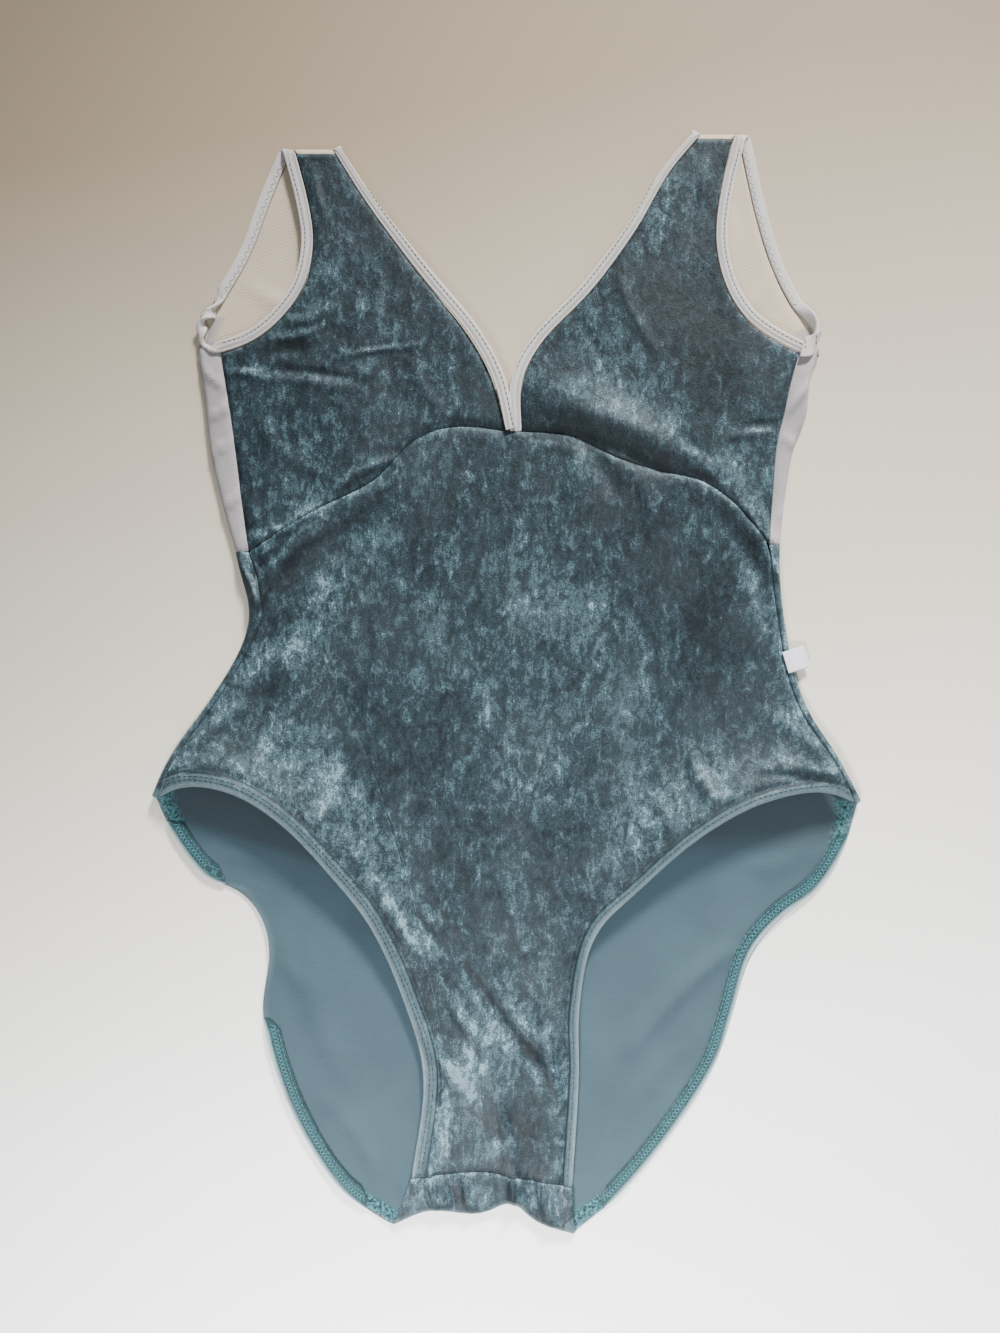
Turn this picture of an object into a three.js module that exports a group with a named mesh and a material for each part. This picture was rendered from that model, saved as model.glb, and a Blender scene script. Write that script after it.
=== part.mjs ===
// A sleeveless dance leotard laid face up on a table, in millimetres, +Z up, neck towards +Y.
// Velvet cups and body in front. A plain white yoke behind comes round the sides to the front.
// The velvet lower back turns up at the crotch. White bindings, turned leg hems, a side label.
import * as THREE from "three";

// Driving sizes
const VELVET = 1.4;
const YOKE = 1;
const BINDING = { width: 6.6, thick: 2.2, chamfer: 0.6 };
const JOIN = { width: 12, thick: 1.2, chamfer: 0.3 };
const HEM = { width: 8.5, thick: 1.1, chamfer: 0.2 };
const LABEL = { x: 157.6, y: 12, length: 13.5, width: 12.5, thick: 1, turn: 17 };
const SEAM_GAP = 0.5;
// Radius of the cloth's middle where it turns over at a side, a shoulder or the crotch
const FOLD = 2;
const LAYER_RISE = 2 * FOLD;

// The sides from underarm to hip: the outermost edge, and the seam that lies on the front
const SIDE_LEFT = [
  { y: 187, edge: -175.5, seam: -162 },
  { y: 160, edge: -171, seam: -157.5 },
  { y: 136, edge: -169, seam: -154 },
  { y: 104, edge: -162, seam: -150 },
  { y: 75, edge: -154, seam: -146 },
  { y: 58, edge: -150, seam: -140 },
  { y: 40, edge: -144.5, seam: -137 },
  { y: 16, edge: -153, seam: -148 },
  { y: -20, edge: -176, seam: -171 },
  { y: -42, edge: -192, seam: -187 },
  { y: -64, edge: -201.5, seam: -196.5 },
];
const SIDE_RIGHT = [
  { y: 187, edge: 178, seam: 166 },
  { y: 172, edge: 171.5, seam: 161 },
  { y: 152, edge: 171, seam: 157 },
  { y: 138, edge: 164, seam: 153 },
  { y: 106, edge: 158, seam: 150.5 },
  { y: 79, edge: 155, seam: 148 },
  { y: 60, edge: 154, seam: 149.5 },
  { y: 38, edge: 157.5, seam: 153.5 },
  { y: 14, edge: 161.5, seam: 157 },
  { y: -16, edge: 171, seam: 166 },
  { y: -38, edge: 186, seam: 181 },
  { y: -67, edge: 201.5, seam: 196.5 },
];
const WAIST_ROW_LEFT = 4;
const WAIST_ROW_RIGHT = 5;

// Shoulders: the top edge, the seam on the front, and the strap's two sides at that seam
const SHOULDER_LEFT = { edge: 303.5, seam: 300, front: [-119, -97] };
const SHOULDER_RIGHT = { edge: 312, seam: 308.5, front: [108, 128] };

// Edges of the front pieces, each from the top down
const ARMHOLE_FRONT_LEFT = [
  { x: -119, y: 300 },
  { x: -112, y: 273 },
  { x: -109, y: 250 },
  { x: -114, y: 226 },
  { x: -126, y: 208 },
  { x: -143, y: 194 },
  { x: -162, y: 187 },
];
const ARMHOLE_FRONT_RIGHT = [
  { x: 128, y: 308.5 },
  { x: 121, y: 280 },
  { x: 118, y: 252 },
  { x: 123, y: 227 },
  { x: 134, y: 208 },
  { x: 149, y: 196 },
  { x: 166, y: 187 },
];
const NECKLINE_LEFT = [
  { x: -97, y: 300 },
  { x: -78, y: 270 },
  { x: -49, y: 231 },
  { x: -22, y: 198 },
  { x: -8, y: 172 },
  { x: -1, y: 143.3 },
];
const NECKLINE_RIGHT = [
  { x: 108, y: 308.5 },
  { x: 92, y: 289 },
  { x: 73, y: 256 },
  { x: 48, y: 222 },
  { x: 20, y: 193 },
  { x: 9, y: 171 },
  { x: 9, y: 143.3 },
];
const BUST_SEAM_LEFT = [
  { x: -146, y: 75 },
  { x: -107, y: 99 },
  { x: -73, y: 116 },
  { x: -56, y: 136 },
  { x: -38, y: 145 },
  { x: -20, y: 146 },
  { x: -1, y: 143 },
];
const BUST_SEAM_RIGHT = [
  { x: 9, y: 143 },
  { x: 38, y: 141 },
  { x: 60, y: 129 },
  { x: 89, y: 120 },
  { x: 112, y: 115 },
  { x: 130, y: 101 },
  { x: 148, y: 79 },
];
// A cup is filled above and below a line between these two points and its edges
const CUP_MIDDLE_LEFT = [
  { x: -114, y: 164 },
  { x: -68, y: 186 },
];
const CUP_MIDDLE_RIGHT = [
  { x: 72, y: 187 },
  { x: 118, y: 164 },
];
const LEG_FRONT_LEFT = [
  { x: -196.5, y: -64 },
  { x: -181, y: -57 },
  { x: -153, y: -61 },
  { x: -126, y: -78 },
  { x: -100, y: -106 },
  { x: -77, y: -136 },
  { x: -58, y: -180 },
  { x: -47, y: -222 },
  { x: -54, y: -280 },
];
const LEG_FRONT_RIGHT = [
  { x: 196.5, y: -67 },
  { x: 178, y: -60 },
  { x: 140, y: -67 },
  { x: 106, y: -87 },
  { x: 75, y: -115 },
  { x: 50, y: -141 },
  { x: 41, y: -183 },
  { x: 41, y: -222 },
  { x: 37, y: -285 },
];
const CROTCH_SEAM = [
  { x: -54, y: -280 },
  { x: -15, y: -276.5 },
  { x: 12, y: -281 },
  { x: 37, y: -285 },
];

// Edges of the back pieces
const ARMHOLE_BACK_LEFT = [
  { x: -123, y: 301 },
  { x: -134, y: 275 },
  { x: -146, y: 243 },
  { x: -161, y: 217 },
  { x: -168.5, y: 204 },
];
const ARMHOLE_BACK_RIGHT = [
  { x: 132, y: 309.5 },
  { x: 141, y: 268 },
  { x: 151, y: 236 },
  { x: 162, y: 214 },
  { x: 170.5, y: 203 },
];
const NECK_BACK_LEFT = [
  { x: -101, y: 301 },
  { x: -84, y: 271 },
  { x: -54, y: 229 },
  { x: -28, y: 192 },
  { x: -15, y: 161 },
];
const NECK_BACK_RIGHT = [
  { x: 112, y: 309.5 },
  { x: 95, y: 284 },
  { x: 70, y: 247 },
  { x: 42, y: 211 },
  { x: 25, y: 186 },
  { x: 20, y: 161 },
];
const LEG_BACK_LEFT = [
  { x: -199, y: -64 },
  { x: -190, y: -86 },
  { x: -171, y: -110 },
  { x: -150, y: -118 },
  { x: -137, y: -136 },
  { x: -134, y: -155 },
  { x: -139, y: -186 },
  { x: -124, y: -240 },
  { x: -96, y: -286 },
  { x: -68, y: -306 },
];
const LEG_BACK_RIGHT = [
  { x: 199, y: -67 },
  { x: 193, y: -92 },
  { x: 177, y: -117 },
  { x: 157, y: -132 },
  { x: 139, y: -153 },
  { x: 129, y: -186 },
  { x: 119, y: -216 },
  { x: 94, y: -255 },
  { x: 64, y: -291 },
  { x: 40, y: -310 },
];
const CROTCH_EDGE = [
  { x: -68, y: -309 },
  { x: -44, y: -299 },
  { x: -15, y: -301 },
  { x: 3, y: -294 },
  { x: 16, y: -305 },
  { x: 40, y: -313 },
];
// On the left the back hem shows as far as the first height and again below the second
const HEM_BACK_LEFT_STOPS = { upper: -115, lower: -184 };

// Soft forms: low hills, or troughs where rise is negative. along and across are half lengths
// and turn is the direction of the long axis in degrees.
const FRONT_FORMS = [
  { x: -150, y: -62, along: 62, across: 26, turn: -30, rise: 9 },
  { x: 140, y: -66, along: 66, across: 26, turn: 24, rise: 9 },
  { x: -78, y: -132, along: 60, across: 20, turn: -52, rise: 4.5 },
  { x: 64, y: -130, along: 55, across: 20, turn: 50, rise: 4.5 },
  { x: 0, y: 20, along: 150, across: 90, turn: 90, rise: 1.6 },
  { x: -98, y: 165, along: 66, across: 34, turn: 75, rise: 2.6 },
  { x: 96, y: 165, along: 66, across: 34, turn: -75, rise: 2.6 },
  { x: 60, y: 150, along: 46, across: 12, turn: -26, rise: 4 },
  { x: 40, y: 127, along: 34, across: 7, turn: -14, rise: -1.4 },
  { x: -92, y: 99, along: 50, across: 9, turn: 32, rise: 2.6 },
  { x: 138, y: 90, along: 38, across: 9, turn: -62, rise: 3 },
  { x: -128, y: 58, along: 36, across: 7, turn: 50, rise: 2.2 },
  { x: -38, y: -190, along: 50, across: 8, turn: -56, rise: -1.8 },
  { x: -18, y: -214, along: 52, across: 9, turn: -56, rise: 2.2 },
  { x: 26, y: -205, along: 44, across: 8, turn: 80, rise: 1.8 },
  { x: -34, y: -290, along: 12, across: 6, turn: 70, rise: 2.4 },
  { x: 2, y: -288, along: 13, across: 5, turn: 80, rise: 2.8 },
  { x: 24, y: -297, along: 14, across: 5, turn: 100, rise: 1.8 },
  { x: 112, y: -42, along: 26, across: 5, turn: -60, rise: 1.8 },
];
const BACK_FORMS = [
  { x: 96, y: -190, along: 46, across: 11, turn: 42, rise: 2.4 },
  { x: -134, y: -152, along: 30, across: 10, turn: 86, rise: 2.6 },
  { x: -104, y: -176, along: 46, across: 14, turn: 68, rise: 1.2 },
];

function formsAt(forms, x, y) {
  return forms.reduce((sum, f) => {
    const angle = THREE.MathUtils.degToRad(f.turn);
    const dx = x - f.x;
    const dy = y - f.y;
    const a = (dx * Math.cos(angle) + dy * Math.sin(angle)) / f.along;
    const b = (dy * Math.cos(angle) - dx * Math.sin(angle)) / f.across;
    return sum + f.rise * Math.exp(-(a * a + b * b));
  }, 0);
}

// Height of the middle of a piece of a thickness, on the front layer and on the back layer
const frontHeight = (x, y, thick) => thick / 2 + LAYER_RISE + formsAt(FRONT_FORMS, x, y);
const backHeight = (x, y, thick) => thick / 2 + formsAt(BACK_FORMS, x, y);

const plan = (x, y) => new THREE.Vector3(x, y, 0);
const backwards = (line) => [...line].reverse();
const joined = (...lines) => lines.reduce((a, b) => a.concat(b.slice(1)));
const edgeOf = (side) => side.map((r) => ({ x: r.edge, y: r.y }));
const seamOf = (side) => side.map((r) => ({ x: r.seam, y: r.y }));

// A smooth line through the rows, as steps + 1 evenly spaced points
function along(rows, steps) {
  const through = rows.map((r) => plan(r.x, r.y));
  return new THREE.CatmullRomCurve3(through, false, "centripetal").getSpacedPoints(steps);
}

// The unit direction to the right of a line as it is walked, at each of its points
function rightOf(line) {
  return line.map((_, k) => {
    const before = line[Math.max(k - 1, 0)];
    const after = line[Math.min(k + 1, line.length - 1)];
    return plan(after.y - before.y, before.x - after.x).normalize();
  });
}

function moved(line, distance) {
  const right = rightOf(line);
  return line.map((p, k) => p.clone().addScaledVector(right[k], distance));
}

// Draws an outline in by half a seam gap. Its four sides run anticlockwise from the top left.
function drawnIn(sides) {
  const ring = sides.flatMap((side) => side.slice(0, -1));
  const count = ring.length;
  const inset = ring.map((p, k) => {
    const before = ring[(k + count - 1) % count];
    const after = ring[(k + 1) % count];
    const first = plan(p.y - before.y, before.x - p.x).normalize();
    const second = plan(after.y - p.y, p.x - after.x).normalize();
    const mitre = first.clone().add(second).normalize();
    const reach = SEAM_GAP / 2 / Math.max(mitre.dot(first), 0.5);
    return p.clone().addScaledVector(mitre, -reach);
  });
  let start = 0;
  return sides.map((side) => {
    const piece = side.map((_, k) => inset[(start + k) % count]);
    start += side.length - 1;
    return piece;
  });
}

function fractions(line) {
  const sums = [0];
  for (let k = 1; k < line.length; k++) sums.push(sums[k - 1] + line[k].distanceTo(line[k - 1]));
  return sums.map((s) => s / sums[sums.length - 1]);
}

// Fills four edges with rows of points. Top and bottom run left to right, the sides run down.
// The pull of a side's curve fades towards the other side, faster where fade is over one.
function fill(top, bottom, left, right, fade = 1) {
  const lower = fractions(bottom);
  const us = fractions(top).map((u, k) => (u + lower[k]) / 2);
  const farther = fractions(right);
  const vs = fractions(left).map((v, k) => (v + farther[k]) / 2);
  const last = top.length - 1;
  const mix = (a, b, t) => a.clone().lerp(b, t);
  return vs.map((v, j) => {
    const pullLeft = left[j].clone().sub(mix(top[0], bottom[0], v));
    const pullRight = right[j].clone().sub(mix(top[last], bottom[last], v));
    return us.map((u, i) =>
      mix(top[i], bottom[i], v)
        .addScaledVector(pullLeft, (1 - u) ** fade)
        .addScaledVector(pullRight, u ** fade),
    );
  });
}

function lay(rows, height, thick) {
  rows.flat().forEach((p) => p.setZ(height(p.x, p.y, thick)));
  return rows;
}

function solid(points, faces) {
  const corners = faces.flatMap((k) => points[k].toArray());
  const geometry = new THREE.BufferGeometry();
  geometry.setAttribute("position", new THREE.Float32BufferAttribute(corners, 3));
  geometry.computeVertexNormals();
  return geometry;
}

// Cloth of one thickness on rows of middle points. A cell is left out where has says so.
function wall(rows, thick, has = () => true) {
  const down = rows.length;
  const across = rows[0].length;
  const there = (i, j) => i >= 0 && j >= 0 && i < across - 1 && j < down - 1 && has(i, j);
  const normals = Array.from({ length: down * across }, () => new THREE.Vector3());
  const cells = [];
  for (let j = 0; j < down - 1; j++) {
    for (let i = 0; i < across - 1; i++) {
      if (!there(i, j)) continue;
      const a = j * across + i;
      const ring = [a, a + across, a + across + 1, a + 1];
      const slant = rows[j + 1][i + 1].clone().sub(rows[j][i]);
      const other = rows[j][i + 1].clone().sub(rows[j + 1][i]);
      const facing = slant.cross(other).normalize();
      ring.forEach((k) => normals[k].add(facing));
      cells.push({ i, j, ring });
    }
  }
  normals.forEach((n) => n.normalize());
  const middle = rows.flat();
  const skin = [1, -1].flatMap((sign) =>
    middle.map((p, k) => p.clone().addScaledVector(normals[k], (sign * thick) / 2)),
  );
  const faces = [];
  const quad = (a, b, c, d) => faces.push(a, b, c, a, c, d);
  const under = middle.length;
  for (const { i, j, ring } of cells) {
    const [a, b, c, d] = ring;
    quad(a, b, c, d);
    quad(d + under, c + under, b + under, a + under);
    if (!there(i - 1, j)) quad(b, a, a + under, b + under);
    if (!there(i, j + 1)) quad(c, b, b + under, c + under);
    if (!there(i + 1, j)) quad(d, c, c + under, d + under);
    if (!there(i, j - 1)) quad(a, d, d + under, a + under);
  }
  return solid(skin, faces);
}

// Cloth that turns over past a fold line and runs on to a seam on the front layer,
// as one line of points for each step away from the fold line.
const ARC_STEPS = 4;
const FLAT_STEPS = 2;
function turnedOver(line, outward, seam, thick) {
  return Array.from({ length: ARC_STEPS + FLAT_STEPS }, (_, s) => {
    const angle = Math.PI * Math.min((s + 1) / ARC_STEPS, 1);
    const flat = Math.max((s + 1 - ARC_STEPS) / FLAT_STEPS, 0);
    return line.map((p, k) => {
      const reach = plan(seam[k].x - p.x, seam[k].y - p.y);
      const back = reach.dot(outward[k]);
      const sideways = reach.clone().addScaledVector(outward[k], -back);
      const gone = (FOLD * angle - back * flat) / (FOLD * Math.PI - back);
      const q = p.clone().addScaledVector(outward[k], FOLD * Math.sin(angle) + back * flat);
      q.addScaledVector(sideways, gone);
      const share = (1 - Math.cos(angle)) / 2;
      const low = backHeight(q.x, q.y, thick);
      return q.setZ(THREE.MathUtils.lerp(low, frontHeight(q.x, q.y, thick), share));
    });
  });
}

const foldInset = (thick) => FOLD + thick / 2;

// Pieces that meet share their steps along the seam
const EDGE_STEPS = 15;
const SIDE_STEPS = 9;
const BUST_STEPS = 12;
const NECK_STEPS = EDGE_STEPS + SIDE_STEPS;

function cup(armhole, sideRows, neckline, shoulder, bust, middle, isLeft) {
  const outer = joined(along(armhole, EDGE_STEPS), along(sideRows, SIDE_STEPS));
  const inner = along(neckline, NECK_STEPS);
  const ends = shoulder.front.map((x) => plan(x, shoulder.seam));
  const [west, east] = isLeft ? [outer, inner] : [inner, outer];
  const sides = drawnIn([
    west,
    along(bust, BUST_STEPS),
    backwards(east),
    backwards(along(ends, BUST_STEPS)),
  ]);
  const [left, bottom] = sides;
  const [right, top] = sides.slice(2).map(backwards);
  const belt = along([left[EDGE_STEPS], ...middle, right[EDGE_STEPS]], BUST_STEPS);
  const upper = [left, right].map((line) => line.slice(0, EDGE_STEPS + 1));
  const lower = [left, right].map((line) => line.slice(EDGE_STEPS));
  const rows = joined(fill(top, belt, ...upper), fill(belt, bottom, ...lower));
  return wall(lay(rows, frontHeight, VELVET), VELVET);
}

// The front body hangs from an arch that goes up one side, along the bust and down the other
function frontBody() {
  const sideLeft = along(seamOf(SIDE_LEFT.slice(WAIST_ROW_LEFT)), SIDE_STEPS);
  const sideRight = along(seamOf(SIDE_RIGHT.slice(WAIST_ROW_RIGHT)), SIDE_STEPS);
  // One more point near each hip gives the leg edges a narrow row beside them
  for (const side of [sideLeft, sideRight]) {
    side.splice(-1, 0, side[SIDE_STEPS].clone().lerp(side[SIDE_STEPS - 1], 0.55));
  }
  const bust = [...along(BUST_SEAM_LEFT, BUST_STEPS), ...along(BUST_SEAM_RIGHT, BUST_STEPS)];
  const arch = joined(backwards(sideLeft), bust, sideRight);
  const legLeft = along(LEG_FRONT_LEFT, 26);
  const legRight = along(LEG_FRONT_RIGHT, 26);
  const crotch = along(CROTCH_SEAM, arch.length - 1);
  const sides = drawnIn([legLeft, crotch, backwards(legRight), backwards(arch)]);
  const rows = fill(backwards(sides[3]), sides[1], sides[0], backwards(sides[2]), 2.5);
  return wall(lay(rows, frontHeight, VELVET), VELVET);
}

// The fold line, its outward directions and the far seam along part of a side
function sideFold(side, from, to, steps, thick, sign) {
  const edge = along(edgeOf(side.slice(from, to)), steps);
  const seam = along(seamOf(side.slice(from, to)), steps);
  const outward = rightOf(edge).map((v) => v.multiplyScalar(sign));
  const line = edge.map((p, k) => p.clone().addScaledVector(outward[k], -foldInset(thick)));
  const far = seam.map((p) => plan(p.x - sign * SEAM_GAP, p.y));
  return { line, outward, far };
}

// Sets a side's last or first row square to the fold, half a gap from the back's waist seam
function squareAt(fold, k, rise) {
  fold.outward[k].set(Math.sign(fold.outward[k].x), 0, 0);
  fold.line[k].y += rise;
  fold.far[k].y += rise;
}

// Puts the turned sides beside the rows that start at a given row
function withSideFlaps(rows, start, left, right, thick, has) {
  const flaps = ARC_STEPS + FLAT_STEPS;
  const turnedLeft = turnedOver(left.line, left.outward, left.far, thick);
  const turnedRight = turnedOver(right.line, right.outward, right.far, thick);
  const wide = rows.map((row, j) => {
    const k = THREE.MathUtils.clamp(j - start, 0, left.line.length - 1);
    return [...backwards(turnedLeft).map((l) => l[k]), ...row, ...turnedRight.map((l) => l[k])];
  });
  const last = wide[0].length - 2;
  return wall(wide, thick, (i, j) => has(i - flaps, j, i < flaps || i > last - flaps));
}

function backLower() {
  const LEG_STEPS = 20;
  const CROSS_STEPS = 16;
  const left = sideFold(SIDE_LEFT, WAIST_ROW_LEFT, undefined, SIDE_STEPS, VELVET, 1);
  const right = sideFold(SIDE_RIGHT, WAIST_ROW_RIGHT, undefined, SIDE_STEPS, VELVET, -1);
  squareAt(left, 0, -SEAM_GAP / 2);
  squareAt(right, 0, -SEAM_GAP / 2);
  const legLeft = along(LEG_BACK_LEFT, LEG_STEPS);
  const legRight = along(LEG_BACK_RIGHT, LEG_STEPS);
  const leftLine = joined(left.line, legLeft);
  const rightLine = joined(right.line, legRight);
  const waist = along([left.line[0], right.line[0]], CROSS_STEPS);
  const crotchEdge = along(CROTCH_EDGE, CROSS_STEPS);
  const crotchOut = rightOf(crotchEdge);
  const crotchLine = moved(crotchEdge, -foldInset(VELVET));
  crotchLine[0].copy(legLeft[LEG_STEPS]);
  crotchLine[CROSS_STEPS].copy(legRight[LEG_STEPS]);
  const rows = lay(fill(waist, crotchLine, leftLine, rightLine), backHeight, VELVET);
  const crotchSeam = moved(along(CROTCH_SEAM, CROSS_STEPS), SEAM_GAP / 2);
  rows.push(...turnedOver(crotchLine, crotchOut, crotchSeam, VELVET));
  return withSideFlaps(rows, 0, left, right, VELVET, (i, j, isFlap) => !isFlap || j < SIDE_STEPS);
}

// The yoke: two straps, the part between and below them, and both turned sides
function backYoke() {
  const STRAP_ROWS = 9;
  const STRAP_STEPS = 5;
  const SCOOP_STEPS = 3;
  const left = sideFold(SIDE_LEFT, 0, WAIST_ROW_LEFT + 1, SIDE_STEPS, YOKE, 1);
  const right = sideFold(SIDE_RIGHT, 0, WAIST_ROW_RIGHT + 1, SIDE_STEPS, YOKE, -1);
  squareAt(left, SIDE_STEPS, SEAM_GAP / 2);
  squareAt(right, SIDE_STEPS, SEAM_GAP / 2);
  const strap = (shoulder, armhole, neck, corner, isLeft) => {
    const outer = along([...armhole, corner], STRAP_ROWS);
    const inner = along(neck, STRAP_ROWS);
    outer[0].y = shoulder.edge - foldInset(YOKE);
    inner[0].y = shoulder.edge - foldInset(YOKE);
    const [west, east] = isLeft ? [outer, inner] : [inner, outer];
    west[0].x += SEAM_GAP;
    east[0].x -= SEAM_GAP;
    const top = along([west[0], east[0]], STRAP_STEPS);
    const bottom = along([west[STRAP_ROWS], east[STRAP_ROWS]], STRAP_STEPS);
    const rows = lay(fill(top, bottom, west, east), backHeight, YOKE);
    const [a, b] = shoulder.front;
    const y = shoulder.seam + SEAM_GAP / 2;
    const seam = along([plan(a + SEAM_GAP, y), plan(b - SEAM_GAP, y)], STRAP_STEPS);
    return [...backwards(turnedOver(top, top.map(() => plan(0, 1)), seam, YOKE)), ...rows];
  };
  const strapLeft = strap(SHOULDER_LEFT, ARMHOLE_BACK_LEFT, NECK_BACK_LEFT, left.line[0], true);
  const strapRight = strap(
    SHOULDER_RIGHT,
    ARMHOLE_BACK_RIGHT,
    NECK_BACK_RIGHT,
    right.line[0],
    false,
  );
  const rows = strapLeft.map((row, j) => {
    const between = along([row[STRAP_STEPS], strapRight[j][0]], SCOOP_STEPS);
    return [...row, ...between.slice(1, -1), ...strapRight[j]];
  });
  const start = rows.length - 1;
  const top = rows[start].map((p) => plan(p.x, p.y));
  const bottom = along([left.line[SIDE_STEPS], right.line[SIDE_STEPS]], top.length - 1);
  const body = lay(fill(top, bottom, left.line, right.line), backHeight, YOKE);
  const all = [...rows.slice(0, -1), ...body];
  return withSideFlaps(all, start, left, right, YOKE, (i, j, isFlap) => {
    if (j >= start) return true;
    return !isFlap && (i < STRAP_STEPS || i >= STRAP_STEPS + SCOOP_STEPS);
  });
}

// Strips run through stations, each with a point and the direction of the strip's width.
// inner is the direction of a frame that points into the garment.
function framed(stations, isClosed) {
  const count = stations.length;
  const at = (k) => stations[isClosed ? (k + count) % count : Math.min(Math.max(k, 0), count - 1)];
  return stations.map(({ point, side }, k) => {
    const heading = at(k + 1).point.clone().sub(at(k - 1).point).normalize();
    return { point, across: side, inner: heading.cross(side).normalize() };
  });
}

function strip(frames, { width, thick, chamfer }, isClosed) {
  const count = frames.length;
  const w = width / 2;
  const t = thick / 2;
  const section = [
    { u: w, v: t - chamfer },
    { u: w - chamfer, v: t },
    { u: chamfer - w, v: t },
    { u: -w, v: t - chamfer },
    { u: -w, v: chamfer - t },
    { u: chamfer - w, v: -t },
    { u: w - chamfer, v: -t },
    { u: w, v: chamfer - t },
  ];
  const points = frames.flatMap(({ point, across, inner }) =>
    section.map(({ u, v }) => point.clone().addScaledVector(across, u).addScaledVector(inner, v)),
  );
  const faces = [];
  for (let k = 0; k < (isClosed ? count : count - 1); k++) {
    const here = k * 8;
    const next = ((k + 1) % count) * 8;
    for (let m = 0; m < 8; m++) {
      const n = (m + 1) % 8;
      faces.push(here + m, here + n, next + n, here + m, next + n, next + m);
    }
  }
  if (!isClosed) {
    const end = (count - 1) * 8;
    for (let m = 1; m < 7; m++) faces.push(0, m + 1, m, end, end + m, end + m + 1);
  }
  return solid(points, faces);
}

// Stations of a strip beside an edge, to its right or, where sign is negative, to its left.
// Its width slopes with the surface that it lies on.
function beside(line, sign, height, spec) {
  const right = rightOf(line);
  const half = spec.width / 2;
  return line.map((p, k) => {
    const side = right[k].multiplyScalar(sign);
    const near = p.clone().addScaledVector(side, SEAM_GAP);
    const far = near.clone().addScaledVector(side, spec.width);
    const low = height(near.x, near.y, spec.thick);
    const high = height(far.x, far.y, spec.thick);
    side.z = (high - low) / spec.width;
    side.normalize();
    const point = near.setZ(low).addScaledVector(side, half);
    return { point, side };
  });
}
// The openings lie to the right of the bindings' lines on the front and to the left behind
const onFront = (line) => beside(line, 1, frontHeight, BINDING);
const onBack = (line) => beside(line, -1, backHeight, BINDING);

// Stations that carry a binding from one layer to the other, bulging outward, with its width
// standing up by lift at half way
function turn(from, to, outward, bulge, lift, steps) {
  return Array.from({ length: steps - 1 }, (_, s) => {
    const t = (s + 1) / steps;
    const bow = Math.sin(Math.PI * t);
    const point = from.point.clone().lerp(to.point, t).addScaledVector(outward, bulge * bow);
    const side = from.side.clone().lerp(to.side, t);
    side.z += lift * bow;
    side.normalize();
    const share = (1 - Math.cos(Math.PI * t)) / 2;
    const height = THREE.MathUtils.lerp(from.point.z, to.point.z, share);
    const flat = Math.hypot(side.x, side.y);
    const resting = (BINDING.width / 2) * side.z + (BINDING.thick / 2) * flat;
    return { point: point.setZ(Math.max(height, resting)), side };
  });
}

function endingAtShoulder(line, shoulder) {
  line[line.length - 1].y = shoulder.edge - foldInset(BINDING.thick);
  return line;
}
function startingAtShoulder(line, shoulder) {
  line[0].y = shoulder.edge - foldInset(BINDING.thick);
  return line;
}

const UP = plan(0, 1);

function neckBinding() {
  const BACK_STEPS = 18;
  const upLeft = backwards(startingAtShoulder(along(NECKLINE_LEFT, NECK_STEPS), SHOULDER_LEFT));
  const downRight = startingAtShoulder(along(NECKLINE_RIGHT, NECK_STEPS), SHOULDER_RIGHT);
  const scoop = joined(
    startingAtShoulder(along(NECK_BACK_LEFT, BACK_STEPS), SHOULDER_LEFT),
    along([NECK_BACK_LEFT[4], NECK_BACK_RIGHT[5]], 2),
    endingAtShoulder(along(backwards(NECK_BACK_RIGHT), BACK_STEPS), SHOULDER_RIGHT),
  );
  const frontLeft = onFront(upLeft);
  const back = onBack(scoop);
  const frontRight = onFront(downRight);
  // At the centre the left end lies over the right end
  const crossing = (y) => 1.35 * THREE.MathUtils.smoothstep(230 - y, 0, 42);
  frontLeft.forEach(({ point }) => (point.z += crossing(point.y)));
  frontRight.forEach(({ point }) => (point.z -= crossing(point.y)));
  const stations = [
    ...frontLeft,
    ...turn(frontLeft[NECK_STEPS], back[0], UP, FOLD, 0, 5),
    ...back,
    ...turn(back[back.length - 1], frontRight[0], UP, FOLD, 0, 5),
    ...frontRight,
  ];
  return strip(framed(stations, false), BINDING, false);
}

// An armhole binding is one loop: down one layer, over at the underarm, up the other layer
// and over at the shoulder. The underarm turn takes UNDERARM_STEPS steps.
const UNDERARM_STEPS = 8;
function armholeFrames(shoulder, frontRows, backRows, side, isLeft) {
  const { seam, edge, y } = side[0];
  const front = startingAtShoulder(along(frontRows, EDGE_STEPS), shoulder);
  front.push(plan(THREE.MathUtils.lerp(seam, edge, 0.45), y));
  const back = startingAtShoulder(along(backRows.slice(0, -1), EDGE_STEPS - 3), shoulder);
  const first = isLeft ? onFront(front) : onBack(back);
  const second = isLeft ? onBack(backwards(back)) : onFront(backwards(front));
  const outward = plan(isLeft ? -1 : 1, 0);
  const stations = [
    ...first,
    ...turn(first[first.length - 1], second[0], outward, 7, 1, UNDERARM_STEPS),
    ...second,
    ...turn(second[second.length - 1], first[0], UP, FOLD, 0, 5),
  ];
  return framed(stations, true);
}

// The stitched square that covers the ends of the right armhole binding, on its outer face
function bindingJoin(frames) {
  const from = EDGE_STEPS - 3 + UNDERARM_STEPS - 2;
  const lift = (BINDING.thick + JOIN.thick) / 2 + SEAM_GAP;
  const over = frames.slice(from, from + 4).map(({ point, across, inner }) => ({
    point: point.clone().addScaledVector(inner, -lift),
    across,
    inner,
  }));
  return strip(over, JOIN, false);
}

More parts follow.
